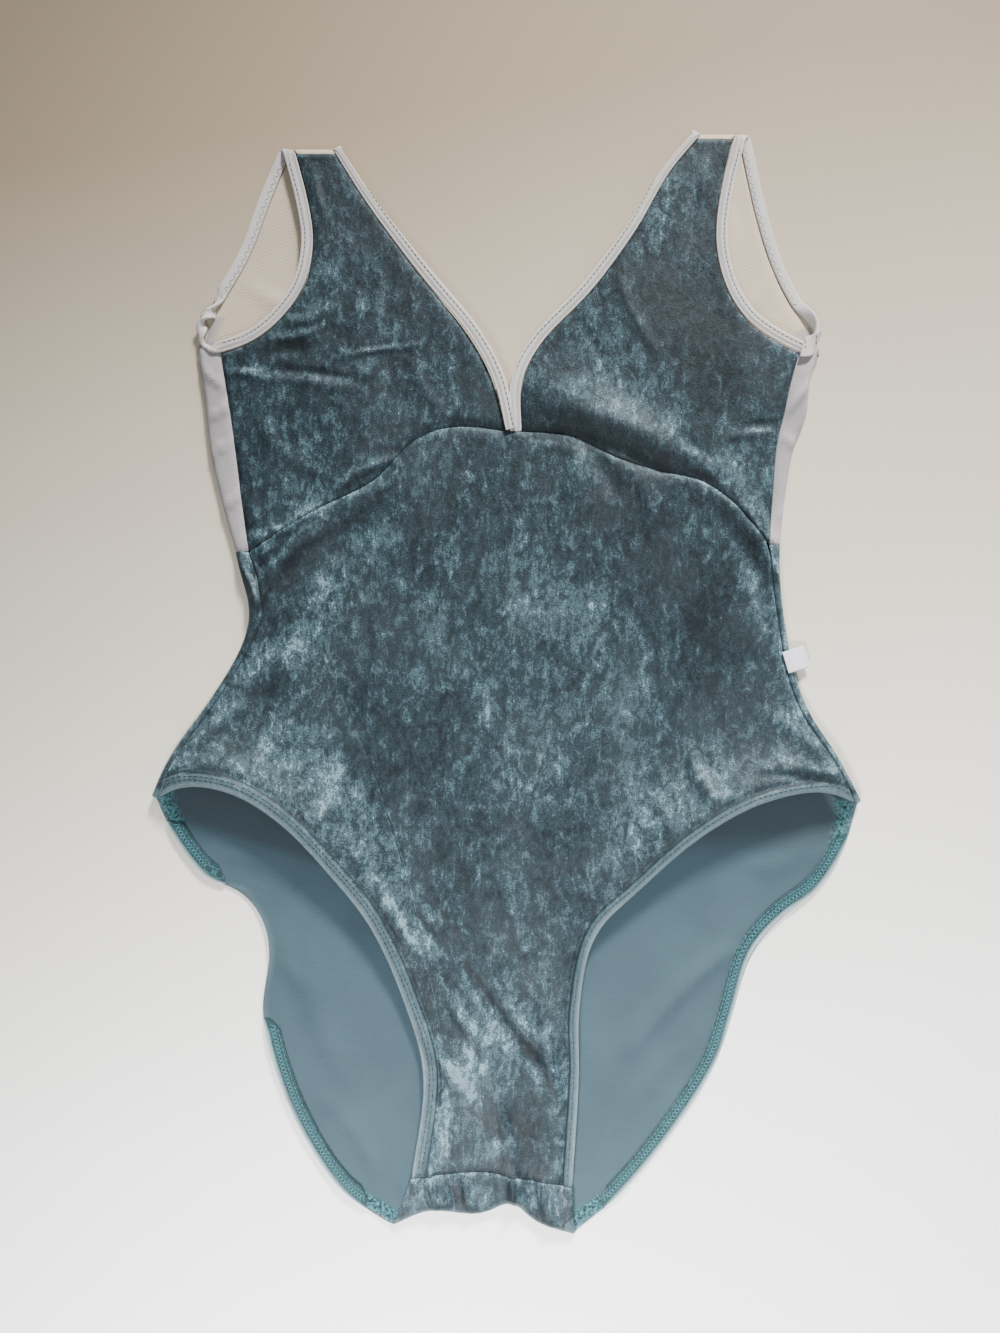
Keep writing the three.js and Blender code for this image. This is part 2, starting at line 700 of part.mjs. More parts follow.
// A leg hem lies flat beside the leg edge, on the back panel or under the front panel
const HEM_LIFT = (VELVET + HEM.thick) / 2 + 1.5 * SEAM_GAP;
const onBackPanel = (x, y) => backHeight(x, y, VELVET) + HEM_LIFT;
const underFront = (x, y) => frontHeight(x, y, VELVET) - HEM_LIFT;
function hem(line, sign, height) {
  return strip(framed(beside(line, sign, height, HEM), false), HEM, false);
}

// The folded label leaves the side seam, lies over the turned side and droops outside it
function sideLabel() {
  const angle = THREE.MathUtils.degToRad(LABEL.turn);
  const out = plan(Math.cos(angle), Math.sin(angle));
  const across = plan(-Math.sin(angle), Math.cos(angle));
  const root = frontHeight(LABEL.x, LABEL.y, VELVET) + (VELVET + LABEL.thick) / 2 + SEAM_GAP;
  const rows = [1, 0.5, 0, -0.5, -1].map((v) =>
    Array.from({ length: 9 }, (_, k) => {
      const u = k / 8;
      const p = plan(LABEL.x, LABEL.y).addScaledVector(out, LABEL.length * u);
      p.addScaledVector(across, (LABEL.width / 2) * v);
      return p.setZ(root - 3.2 * THREE.MathUtils.smoothstep(u, 0.2, 1));
    }),
  );
  return wall(rows, LABEL.thick);
}

const FINISH = {
  velvet: { color: 0x4f6f78, roughness: 0.9 },
  yoke: { color: 0xd9d5d0, roughness: 0.85 },
  binding: { color: 0xdedbd8, roughness: 0.7 },
  hem: { color: 0x5f97a3, roughness: 0.9 },
  label: { color: 0xe6e0ea, roughness: 0.6 },
};

const part = new THREE.Group();
function add(name, finish, geometry) {
  const material = new THREE.MeshStandardMaterial({ ...FINISH[finish], metalness: 0 });
  const mesh = new THREE.Mesh(geometry, material);
  mesh.name = name;
  part.add(mesh);
}

const seamLeft = seamOf(SIDE_LEFT.slice(0, WAIST_ROW_LEFT + 1));
const seamRight = seamOf(SIDE_RIGHT.slice(0, WAIST_ROW_RIGHT + 1));
add(
  "cup_left",
  "velvet",
  cup(
    ARMHOLE_FRONT_LEFT,
    seamLeft,
    NECKLINE_LEFT,
    SHOULDER_LEFT,
    BUST_SEAM_LEFT,
    CUP_MIDDLE_LEFT,
    true,
  ),
);
add(
  "cup_right",
  "velvet",
  cup(
    ARMHOLE_FRONT_RIGHT,
    seamRight,
    NECKLINE_RIGHT,
    SHOULDER_RIGHT,
    BUST_SEAM_RIGHT,
    CUP_MIDDLE_RIGHT,
    false,
  ),
);
add("front_body", "velvet", frontBody());
add("back_lower", "velvet", backLower());
add("back_yoke", "yoke", backYoke());
add("neck_binding", "binding", neckBinding());
const armholeLeft = armholeFrames(
  SHOULDER_LEFT,
  ARMHOLE_FRONT_LEFT,
  ARMHOLE_BACK_LEFT,
  SIDE_LEFT,
  true,
);
const armholeRight = armholeFrames(
  SHOULDER_RIGHT,
  ARMHOLE_FRONT_RIGHT,
  ARMHOLE_BACK_RIGHT,
  SIDE_RIGHT,
  false,
);
add("armhole_binding_left", "binding", strip(armholeLeft, BINDING, true));
add("armhole_binding_right", "binding", strip(armholeRight, BINDING, true));
add("binding_join_right", "binding", bindingJoin(armholeRight));

const legBackLeft = along(LEG_BACK_LEFT, 40);
const legBackRight = along(LEG_BACK_RIGHT, 30);
const upperPart = legBackLeft.filter((p, k) => k > 1 && p.y > HEM_BACK_LEFT_STOPS.upper);
const lowerPart = legBackLeft.filter((p) => p.y < HEM_BACK_LEFT_STOPS.lower && p.y > -300);
const rightPart = legBackRight.filter((p, k) => k > 1 && p.y > -303);
add("hem_back_left_upper", "hem", hem(upperPart, -1, onBackPanel));
add("hem_back_left_lower", "hem", hem(lowerPart, -1, onBackPanel));
add("hem_back_right", "hem", hem(rightPart, 1, onBackPanel));
add("hem_front_left", "hem", hem(along(LEG_FRONT_LEFT, 26).slice(1, -1), -1, underFront));
add("hem_front_right", "hem", hem(along(LEG_FRONT_RIGHT, 26).slice(1, -1), 1, underFront));
add("side_label", "label", sideLabel());

// The origin is the middle of the bounding box's underside
const box = new THREE.Box3().setFromObject(part);
const centre = box.getCenter(new THREE.Vector3());
part.children.forEach((mesh) => mesh.geometry.translate(-centre.x, -centre.y, -box.min.z));

export default part;
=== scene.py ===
"""A sleeveless crushed velvet dance leotard laid face up: its cloth, bindings, hems and sewing.

Each cloth piece is a fine shell on the form of its CAD solid. Creases, seams and grooves are drawn
in millimetres in the tables below, and the stitches are laid on the finished shells.
"""

import math
from collections import namedtuple

import bmesh
import bpy
import numpy as np
from bpy.props import FloatProperty, FloatVectorProperty, IntProperty, PointerProperty
from mathutils import Matrix, Vector, noise
from mathutils.bvhtree import BVHTree


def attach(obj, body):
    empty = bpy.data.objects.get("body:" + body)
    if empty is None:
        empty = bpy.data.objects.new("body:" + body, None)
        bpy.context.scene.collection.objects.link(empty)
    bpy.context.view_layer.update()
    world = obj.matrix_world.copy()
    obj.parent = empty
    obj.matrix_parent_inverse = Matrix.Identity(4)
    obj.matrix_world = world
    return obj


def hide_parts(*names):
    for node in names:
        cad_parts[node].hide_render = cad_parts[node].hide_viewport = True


bl_info = {
    "name": "Laid Velvet Leotard",
    "version": (1, 0, 0),
    "blender": (4, 5, 0),
    "location": "3D View > Sidebar > Leotard",
    "description": "Cloth, bindings, hems and stitching of a velvet leotard laid flat",
    "category": "Add Mesh",
}

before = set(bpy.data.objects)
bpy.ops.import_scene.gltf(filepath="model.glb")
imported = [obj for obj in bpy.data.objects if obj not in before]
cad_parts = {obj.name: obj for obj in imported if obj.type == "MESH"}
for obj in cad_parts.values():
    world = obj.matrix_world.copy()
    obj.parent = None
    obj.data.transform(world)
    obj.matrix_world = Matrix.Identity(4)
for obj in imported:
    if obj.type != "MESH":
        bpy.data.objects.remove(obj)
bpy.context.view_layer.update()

MM = 0.001
# The tables count from the middle of the laid layout, and the frame from the middle of its box
LAYOUT_SHIFT_Y = -1.55


def rows_of(kind, rows):
    return [kind(*row) for row in rows]


# Edges, seams and folds in millimetres as (x, y), from the top down or from left to right
NECKLINE_LEFT = [(-97, 300), (-78, 270), (-49, 231), (-22, 198), (-8, 172), (-1, 143.3)]
NECKLINE_RIGHT = [(108, 308.5), (92, 289), (73, 256), (48, 222), (20, 193), (9, 171), (9, 143.3)]
ARMHOLE_FRONT_LEFT = [
    (-119, 300), (-112, 273), (-109, 250), (-114, 226), (-126, 208), (-143, 194), (-162, 187),
]
ARMHOLE_FRONT_RIGHT = [
    (128, 308.5), (121, 280), (118, 252), (123, 227), (134, 208), (149, 196), (166, 187),
]
ARMHOLE_BACK_LEFT = [(-123, 301), (-134, 275), (-146, 243), (-161, 217), (-168.5, 204)]
ARMHOLE_BACK_RIGHT = [(132, 309.5), (141, 268), (151, 236), (162, 214), (170.5, 203)]
BUST_SEAM_LEFT = [(-146, 75), (-107, 99), (-73, 116), (-56, 136), (-38, 145), (-20, 146), (-1, 143)]
BUST_SEAM_RIGHT = [(9, 143), (38, 141), (60, 129), (89, 120), (112, 115), (130, 101), (148, 79)]
SIDE_SEAM_LEFT = [(-162, 187), (-157.5, 160), (-154, 136), (-150, 104), (-146, 75), (-137, 40)]
SIDE_SEAM_RIGHT = [(166, 187), (157, 152), (153, 138), (150.5, 106), (148, 79), (153.5, 38)]
HIP_SEAM_LEFT = [(-137, 40), (-148, 16), (-171, -20), (-187, -42), (-196.5, -64)]
HIP_SEAM_RIGHT = [(153.5, 38), (157, 14), (166, -16), (181, -38), (196.5, -67)]
LEG_FRONT_LEFT = [
    (-196.5, -64), (-181, -57), (-153, -61), (-126, -78), (-100, -106), (-77, -136),
    (-58, -180), (-47, -222), (-54, -280),
]
LEG_FRONT_RIGHT = [
    (196.5, -67), (178, -60), (140, -67), (106, -87), (75, -115), (50, -141),
    (41, -183), (41, -222), (37, -285),
]
CROTCH_SEAM = [(-54, -280), (-15, -276.5), (12, -281), (37, -285)]
LEG_BACK_LEFT = [
    (-199, -64), (-190, -86), (-171, -110), (-150, -118), (-137, -136),
    (-134, -155), (-139, -186), (-124, -240), (-96, -286), (-68, -306),
]
LEG_BACK_RIGHT = [
    (199, -67), (193, -92), (177, -117), (157, -132), (139, -153), (129, -186),
    (119, -216), (94, -255), (64, -291), (40, -310),
]
CROTCH_FOLD = [(-68, -309), (-44, -299), (-15, -301), (3, -294), (16, -305), (40, -313)]
FRONT_LEG_EDGES = (LEG_FRONT_LEFT, LEG_FRONT_RIGHT)
# The hems on the back's leg edges, and the side of its edge that each lies on
BACK_HEMS = [
    ("hem_back_left_upper", LEG_BACK_LEFT, -1),
    ("hem_back_left_lower", LEG_BACK_LEFT, -1),
    ("hem_back_right", LEG_BACK_RIGHT, 1),
]

# Creases: a line from one end to the other, its half width, its rise and how far its middle bows
Crease = namedtuple("Crease", "x0 y0 x1 y1 width rise bow", defaults=[0])
FRONT_CREASES = rows_of(Crease, [
    # Lip of the body over the left cup, and the drag from the left waist
    (-143, 82, -100, 104, 3.2, 1.5, 3), (-98, 108, -64, 126, 2.6, 1.2, -3),
    (-108, 88, -146, 31, 4.2, 2.2, 4), (-101, 80, -138, 26, 3.4, -1.2, 4),
    (-143, 34, -116, 75, 1.7, -1.3, -1), (-116, 75, -82, 93, 1.7, -1.0, 2),
    (-147, 42, -121, 80, 1.8, 1.6, -1), (-138, 33, -111, 72, 1.9, 1.3, -1),
    (-146.5, 80, -135, 52, 1.3, -1.0, -2), (-135, 84, -127, 60, 1.4, -0.9, -1),
    (-145, 64, -130, 86, 2.0, 1.8, 2), (-154, 70, -141, 46, 1.9, 1.4, -2),
    (-148, 58, -128, 75, 2.0, -1.0, -2), (-136, 44, -116, 61, 2.0, -0.8, 2),
    # Bulge of the right cup over its seam and the drag lines below its inner end
    (22, 156, 110, 121, 7.5, 1.25, -6), (14, 139.5, 58, 134, 2.4, -1.6, -2),
    (58, 134, 90, 119, 2.0, -0.9, -1), (39, 139, 61, 108, 3.4, -1.5, -3),
    (44, 136, 39, 104, 4.0, 1.3, 2), (32, 134, 24, 100, 2.6, -0.5, -2),
    (62, 128, 84, 92, 4.5, 0.9, -4),
    # Ridge at the right waist and its puckers
    (128, 103, 158, 34, 6.0, 2.0, -7), (118, 96, 148, 22, 4.6, -1.0, -8),
    (133, 98, 140, 88, 1.6, -1.0, 1), (139, 100, 147, 86, 1.5, -0.9, 1),
    (144, 96, 151, 80, 1.6, 0.9, 1), (150, 84, 155, 66, 1.8, -1.0, 2),
    (134, 143.7, 154, 146.8, 1.5, -1.1, -1), (122, 138, 152, 141, 2.6, 0.6, -2),
    (96, 150, 118, 128, 3.0, -0.6, 5),
    # Flattened folds across the left cup
    (-142, 178, -78, 170, 1.9, -0.8, -2), (-146, 173, -88, 165, 2.2, 0.5, -2),
    (-128, 205, -96, 214, 2.6, 0.8, 4), (-140, 150, -104, 118, 3.0, 0.7, 5),
    (-110, 178, -112, 160, 1.4, 0.6, 1), (-94, 178, -95, 157, 1.4, 0.6, -1),
    (-52, 182, -36, 152, 2.4, 0.7, 3), (-70, 232, -88, 190, 3.2, 0.6, -3),
    (64, 232, 84, 190, 3.2, 0.6, 3), (40, 206, 58, 168, 2.6, -0.5, -3),
    (-100, 183, -51, 191, 1.3, 0.8, -1), (-158, 176.6, -138, 176.6, 1.6, 1.0, 1),
    (-132, 195, -105, 201, 1.7, 1.0, 2), (-133, 197, -133, 187, 1.1, 0.7),
    (-121, 197, -121, 189, 1.1, 0.6), (-112, 198, -113, 189, 1.1, 0.6),
    (-134, 188, -108, 191, 2.4, -0.4, 1),
    # Turned sides of the yoke
    (-170, 150, -155, 160, 1.6, 1.1, 1), (-168, 129, -153, 137, 1.5, 0.9, -1),
    (-163, 98, -149, 110, 1.7, 1.1, 1), (-172, 178, -158, 168, 1.6, 1.1, 1),
    (174, 172, 159, 152, 1.9, 1.2, 1), (170, 128, 156, 140, 1.6, 1.0, 1),
    (168, 110, 154, 94, 1.8, 1.1, -1),
    # Straps
    (-110, 292, -102, 262, 2.4, 0.5, 1), (112, 296, 108, 258, 2.4, 0.5, -1),
    # Soft vertical drags down the middle
    (4, 92, 2, 20, 3.0, 0.6, 3), (-30, 78, -38, -20, 5.0, 0.7, -6), (46, 60, 50, -34, 4.4, 0.6, 5),
    (18, 36, 24, -60, 3.2, -0.5, -4), (-72, 38, -96, -46, 5.6, 0.8, -7),
    (86, 50, 104, -26, 5.0, 0.8, 6), (-14, -20, -22, -110, 4.0, 0.7, 4),
    # Hips
    (102, -36, 117, -66, 2.8, 1.9, 2), (109, -34, 125, -60, 2.0, -0.8, 2),
    (150, -18, 186, -58, 4.0, 1.1, -5), (-150, -14, -184, -52, 4.0, 1.1, 5),
    (-120, -40, -146, -58, 3.0, -0.7, 3), (-94, -66, -112, -92, 3.4, 1.0, 3),
    (82, -64, 92, -94, 3.0, 0.9, -3), (134, -52, 186, -58, 1.2, -0.7, -3),
    (140, -47, 184, -52, 1.4, 0.8, -3),
    # Diagonal drags towards the crotch
    (-72, -115, -45, -158, 4.0, 1.3, 2), (-55, -126, -33, -153, 2.6, -1.3, 1),
    (-33, -176, -12, -206, 3.6, 1.6, 2), (-25, -159, 21, -221, 3.0, -2.1, 2),
    (-8, -174, 25, -212, 3.6, 1.6, 1), (20, -220, 30, -235, 1.3, -1.0, 1),
    (-33, -228, -45, -278, 1.9, 1.4, 2), (-26, -226, -36, -272, 2.4, -0.7, 2),
    (-44, -108, -22, -146, 3.0, 0.8, 1), (2, -128, 16, -168, 2.6, 0.8, 1),
    (-48, -196, -8, -246, 3.2, 1.2, 4), (20, -170, 30, -240, 3.0, 1.0, 3),
    (-40, -232, -30, -270, 2.4, -0.8, 2), (-10, -232, 2, -272, 2.8, 1.1, -3),
    (-60, -176, -46, -214, 3.0, -0.6, 3),
    # Crumpled end of the crotch
    (-44, -270, -40, -297, 2.4, 2.0, 1), (-33, -282, -30, -302, 1.6, -1.4, -1),
    (-23, -279, -20, -299, 2.2, 2.2, 1), (-9, -280, -6, -299, 1.7, -1.5, 1),
    (2, -279, 4, -297, 2.2, 2.2, -1), (13, -281, 16, -303, 1.6, -1.5, -1),
    (22, -284, 25, -306, 2.2, 2.0, 1), (31, -286, 33, -308, 1.6, -1.2, 1),
])
# Inside of the back panel where it shows through the leg openings
OPENING_CREASES = rows_of(Crease, [
    (70, -208, 126, -150, 4.6, 2.6, -3), (66, -252, 110, -200, 5.0, 0.7, -5),
    (112, -166, 132, -132, 2.4, 0.7, 3), (-128, -138, -116, -172, 4.2, 0.9, 4),
    (-112, -150, -92, -226, 5.4, 0.8, 6), (-104, -236, -74, -280, 4.0, 0.7, -4),
    (136, -104, 168, -96, 5.0, 0.6, 4), (-168, -92, -136, -98, 5.0, 0.6, 3),
])
BACK_CREASES = rows_of(Crease, [
    # Hidden drags of the seat and the lower back
    (-150, 40, -60, 16, 4.4, 0.9, -6), (-160, -6, -70, -26, 5.2, 1.1, 7),
    (-60, 52, 46, 44, 3.6, 0.7, 4), (152, 36, 64, 10, 4.6, 1.0, 6),
    (168, -14, 84, -44, 4.0, 0.9, -6), (-40, -20, -12, -118, 4.8, 0.8, 6),
    (36, -30, 16, -128, 4.2, 0.9, -5), (-64, -110, -14, -196, 4.4, 1.0, -6),
    (60, -96, 22, -176, 5.0, 1.0, 5), (-20, -206, -14, -276, 3.6, 1.0, 3),
    (14, -214, 20, -282, 3.2, 0.9, -3),
    # Yoke behind
    (-150, 196, -70, 182, 4.0, 0.6, 5), (-150, 230, -112, 214, 3.0, 0.6, 3),
    (-142, 222, -118, 196, 2.6, 0.5, -3), (148, 232, 126, 206, 3.0, 0.6, -3),
    (150, 180, 64, 152, 4.4, 0.7, -5), (-130, 128, -30, 112, 4.6, 0.7, 6),
    (126, 120, 30, 98, 4.2, 0.7, -5), (-118, 262, -108, 236, 2.4, 0.6, 2),
    (128, 270, 122, 240, 2.4, 0.6, -2),
])

# Painted highlights and painted shade: patches where the crushed pile catches the light (positive
# light) and where it lies dark (negative light)
Nap = namedtuple("Nap", "x y along across turn light")
PAINTED_LIGHT_PATCHES = rows_of(Nap, [
    (-108, 48, 18, 12, 60, 0.26), (-126, 19, 20, 9, 20, 0.26), (-148, -4, 15, 6, 60, 0.22),
    (-132, -2, 10, 7, 0, -0.24), (-152, -30, 18, 10, 60, -0.2), (-93, -60, 20, 8, -60, 0.26),
    (-74, 80, 14, 11, 40, 0.24), (-50, 112, 22, 8, 75, 0.16), (-72, 36, 30, 17, 60, -0.12),
    (-14, -4, 14, 8, 40, 0.18), (40, 26, 18, 10, 50, 0.14), (-40, -40, 34, 14, 70, -0.08),
    (-120, -58, 24, 9, -20, -0.1), (-58, -135, 30, 6, -58, 0.14), (-22, -222, 24, 14, 80, 0.38),
    (-38, -256, 30, 5, 78, 0.34), (-4, -260, 10, 6, 30, 0.25), (0, -243, 16, 9, 20, -0.2),
    (-31, -200, 10, 5, 80, -0.16), (12, -252, 30, 12, 80, -0.2), (-10, -290, 40, 8, 0, 0.1),
    (-48, -289, 9, 4, 80, 0.16), (-28, -288, 9, 4, 70, -0.22), (-12, -290, 9, 4, 80, 0.14),
    (2, -289, 8, 4, 75, -0.24), (16, -292, 9, 5, 80, 0.16), (30, -298, 10, 5, 80, 0.18),
    (-52, -250, 34, 7, 85, 0.34), (142, 60, 50, 9, -68, 0.26), (126, 118, 20, 12, -40, 0.16),
    (108, 52, 62, 26, -62, -0.2), (128, -22, 46, 20, -50, -0.2), (39, 118, 18, 4, 85, 0.18),
    (62, 104, 34, 10, -50, -0.12), (22, 30, 70, 34, 80, 0.1), (-20, 92, 50, 24, 20, -0.08),
    (60, 144, 46, 10, -24, 0.05), (20, 150, 18, 10, -10, -0.2), (-56, 190, 60, 22, -60, -0.1),
    (-106, 148, 34, 22, 60, 0.05), (-60, 128, 26, 10, 30, -0.12), (120, 170, 34, 20, 80, -0.12),
    (84, 208, 46, 26, -60, -0.2), (-98, 200, 60, 40, -60, -0.05), (44, 214, 34, 7, -52, 0.12),
    (124, 232, 46, 10, 90, -0.14), (-104, 250, 40, 10, 80, 0.06), (28, -110, 50, 24, 60, -0.1),
    (-123, 192, 14, 6, 8, -0.12), (-102, 224, 24, 9, 58, 0.2), (-148, 176, 12, 4, 0, 0.2),
    (-75, 187, 28, 3, 9, 0.14), (64, -96, 40, 12, 50, 0.1),
])

# Grooves and ridges that run beside an edge, at an offset to its right (negative: to its left)
Channel = namedtuple("Channel", "path offset width rise")
FRONT_HEM_CHANNELS = rows_of(Channel, [
    (LEG_FRONT_LEFT, -8.8, 1.1, -1.0), (LEG_FRONT_LEFT, -4.4, 3.4, 0.8),
    (LEG_FRONT_LEFT, -3.4, 0.6, -0.3), (LEG_FRONT_LEFT, -5.4, 0.6, -0.3),
    (LEG_FRONT_RIGHT, 6.2, 1.1, -1.0), (LEG_FRONT_RIGHT, 2.8, 2.2, 0.9),
])
BINDING_SIDES = (
    (NECKLINE_LEFT, -1), (NECKLINE_RIGHT, 1), (ARMHOLE_FRONT_LEFT, 1), (ARMHOLE_FRONT_RIGHT, -1),
)
BINDING_CHANNELS = [
    Channel(path, side * offset, width, rise)
    for path, side in BINDING_SIDES
    for offset, width, rise in ((2.1, 0.75, -0.7), (5.1, 0.6, -0.4))
]
# Middle line of the left binding at the underarm, where it twists like a rope on its way back
TWIST_LINE = [
    (-160, 189.0, 5.15), (-168, 189.2, 5.1), (-171.4, 192.5, 4.5), (-172.2, 197.5, 4.0),
    (-173, 203, 3.4), (-170.5, 209.5, 3.0), (-165.6, 215.6, 1.9), (-158, 223.2, 1.1),
]
# Its whole turns, how far from the line they take hold, and the share by which the roll swells
TWIST_TURNS = 2
TWIST_REACH = 5.5 * MM
TWIST_SWELL = 0.15

# Seams pull the cloth down along their line and pucker it
Seam = namedtuple("Seam", "path depth reach pucker")
SEAMS = rows_of(Seam, [
    (BUST_SEAM_LEFT, 0.9, 2.6, 0.30), (BUST_SEAM_RIGHT, 1.1, 2.6, 0.34),
    (SIDE_SEAM_LEFT, 0.6, 2.0, 0.22), (SIDE_SEAM_RIGHT, 0.6, 2.0, 0.22),
    (HIP_SEAM_LEFT, 0.25, 2.0, 0.2), (HIP_SEAM_RIGHT, 0.25, 2.0, 0.2),
    (CROTCH_SEAM, 0.8, 2.2, 0.4),
    *[(path, 0.4, 1.8, 0.16) for path, _ in BINDING_SIDES],
])

# Turned bands beside an edge: the edge, its side, the width and the stretch in shares of its length
Band = namedtuple("Band", "path side width start stop", defaults=[0, 1])
FRONT_BANDS = [Band(LEG_FRONT_LEFT, -1, 8.6), Band(LEG_FRONT_RIGHT, 1, 6)]
YOKE_BANDS = [Band(SIDE_SEAM_LEFT, 1, 26), Band(SIDE_SEAM_RIGHT, -1, 26)]
BACK_BANDS = [
    # The crotch's fold has no width, only a painted highlight along its edge
    Band(CROTCH_FOLD, -1, 0),
    Band(LEG_BACK_LEFT, -1, 8.8, 0.93, 1),
    Band(LEG_BACK_RIGHT, 1, 8.8, 0.92, 1),
    Band(LEG_BACK_RIGHT, 1, 8.8, 0, 0.1),
    Band(LEG_BACK_LEFT, -1, 8.8, 0, 0.1),
]

# Flat cuts of what shows, in metres; area is given where the cut isn't a rectangle
Cut = namedtuple("Cut", "width length area rests_on", defaults=[None, ()])


def linear(code):
    """Linear colour of a six-digit screen colour."""
    channels = [int(code[k : k + 2], 16) / 255 for k in (0, 2, 4)]
    return [c / 12.92 if c <= 0.04045 else ((c + 0.055) / 1.055) ** 2.4 for c in channels]


def colour(label, about, code):
    return FloatVectorProperty(
        name=label, description=about, subtype="COLOR", size=3, min=0, max=1, default=linear(code)
    )


def length(label, about, default):
    return FloatProperty(name=label, description=about, default=default, min=0, unit="LENGTH")


class LeotardColours(bpy.types.PropertyGroup):
    velvet_deep: colour("Velvet deep", "Velvet where the pile lies away from the light", "071419")
    velvet_dark: colour("Velvet dark", "Darker half of the crushed pile", "122127")
    velvet_mid: colour("Velvet middle", "Middle tone of the crushed pile", "1f2e35")
    velvet_light: colour("Velvet light", "Pile that faces the light", "3a4f57")
    velvet_bright: colour("Velvet bright", "Brightest flecks of the pile", "6d8690")
    velvet_warm: colour("Velvet warm", "Greyer areas of the pile", "2a3237")
    velvet_band: colour("Velvet band", "Flattened pile of the turned front edges", "485b62")
    knit: colour("Knit", "Inside of the velvet", "374a53")
    # Painted shade: the yoke's turned sides are greyer where they turn forward, away from the light
    yoke_side_shaded: colour("Yoke side", "Yoke where it turns forward", "a29da0")
    yoke: colour("Yoke", "Light stretch knit of the yoke", "c8b9a4")
    binding: colour("Binding", "White stretch binding", "c8c3c0")
    hem_dark: colour("Hem dark", "Turned hem between its flecks", "0d2226")
    hem_light: colour("Hem light", "Flecks of the turned hem", "24484e")
    # Painted highlight where the pile stands out along the folded edges
    edge_highlight: colour("Hem rim", "Pile that stands out along the folded edges", "a9bfc4")
    label_tape: colour("Label", "Plain satin tape", "dcd8e2")
    white_thread: colour("White thread", "Thread of the white bindings, in their shade", "3f4049")
    loop_thread: colour("Loop thread", "Looped thread of the back bindings", "8b898d")
    teal_thread: colour("Teal thread", "Thread of the hems", "17282e")
    aqua_thread: colour("Aqua thread", "Looped thread of the back hems", "42747b")
    # The table's tones paint a falloff of light: pale at the near end, darker through the middle
    # tone to the painted shade of the far left corner
    floor: colour("Floor", "Pale table", "f8f7f5")
    floor_middle: colour("Floor middle", "Table beside the waist", "dad4c4")
    floor_shaded: colour("Floor warm", "Table towards the dimmer end", "a6957f")


class LeotardSizes(bpy.types.PropertyGroup):
    crease_share: FloatProperty(
        name="Creases", description="Share of the drawn crease heights", default=1.7, min=0, max=2
    )
    crush_relief: length("Crush relief", "Height of the crushed cloth's small waves", 0.32 * MM)
    refine: IntProperty(
        name="Refine", description="Subdivisions of each shell", default=2, min=1, max=2
    )
    stitch_length: length("Stitch", "Length of one stitch that shows", 2.3 * MM)
    stitch_pitch: length("Pitch", "From one stitch to the next", 2.9 * MM)
    thread: length("Thread", "Diameter of the sewing thread", 0.55 * MM)
    camera_height: length("Camera height", "Camera above the table", 0.76)
    floor_size: length("Floor size", "Side of the table's square", 4.0)


# Places and paths


def placed(rows):
    """Table points in metres in the frame."""
    return (np.array(rows, float) + [0, LAYOUT_SHIFT_Y]) * MM


def arc_along(points):
    """Length of a line up to each of its points."""
    return np.concatenate([[0], np.cumsum(np.linalg.norm(np.diff(points, axis=0), axis=1))])


def read_off(stations, arc, rows):
    """A line's rows of numbers at stations along its arc."""
    return np.column_stack([np.interp(stations, arc, column) for column in rows.T])


# Steps of a smooth curve from one row of its table to the next
SPAN_STEPS = 16


def smooth_path(rows, spacing=2.5 * MM):
    """Evenly spaced points of a smooth curve through a table's rows."""
    knots = placed(rows)
    ends = np.vstack([2 * knots[0] - knots[1], knots, 2 * knots[-1] - knots[-2]])
    t = np.linspace(0, 1, SPAN_STEPS + 1)[:-1, None]
    spans = [
        0.5 * (2 * b + (c - a) * t + (2 * a - 5 * b + 4 * c - d) * t**2
               + (3 * b - a - 3 * c + d) * t**3)
        for a, b, c, d in zip(ends, ends[1:], ends[2:], ends[3:])
    ]
    fine = np.vstack([*spans, knots[-1:]])
    arc = arc_along(fine)
    stations = np.linspace(0, arc[-1], max(2, round(arc[-1] / spacing) + 1))
    return read_off(stations, arc, fine)


def headings(path):
    """Unit vectors along a path."""
    run = np.gradient(path, axis=0)
    return run / np.linalg.norm(run, axis=1)[:, None]


def right_of(path):
    """Unit vectors to the right of a path, walking along it."""
    heading = headings(path)
    return np.column_stack([heading[:, 1], -heading[:, 0]])


def right_at(rows, arc):
    """Unit vectors to the right of a table's path, at lengths along it."""
    right = right_of(smooth_path(rows))
    return read_off(arc, np.linspace(0, arc.max(), len(right)), right)


def from_path(points, rows):
    """Each point's signed distance to the right of a path, and how far along the path it is."""
    path = smooth_path(rows)
    start = path[:-1]
    step = np.diff(path, axis=0)
    size = np.linalg.norm(step, axis=1)
    arc = arc_along(path)
    gap = points[:, None, :] - start[None]
    share = np.clip((gap * step).sum(2) / size**2, 0, 1)
    off = gap - share[..., None] * step
    distance = np.linalg.norm(off, axis=2)
    nearest = distance.argmin(1)
    row = np.arange(len(points))
    off = off[row, nearest]
    on = step[nearest]
    side = np.sign(off[:, 0] * on[:, 1] - off[:, 1] * on[:, 0])
    return distance[row, nearest] * side, arc[nearest] + share[row, nearest] * size[nearest]


def bell(distance, width):
    return np.exp(-((distance / width) ** 2))


# Soft relief of the cloth


# A crease fades to this share of its height towards its ends
END_SHARE = 0.3


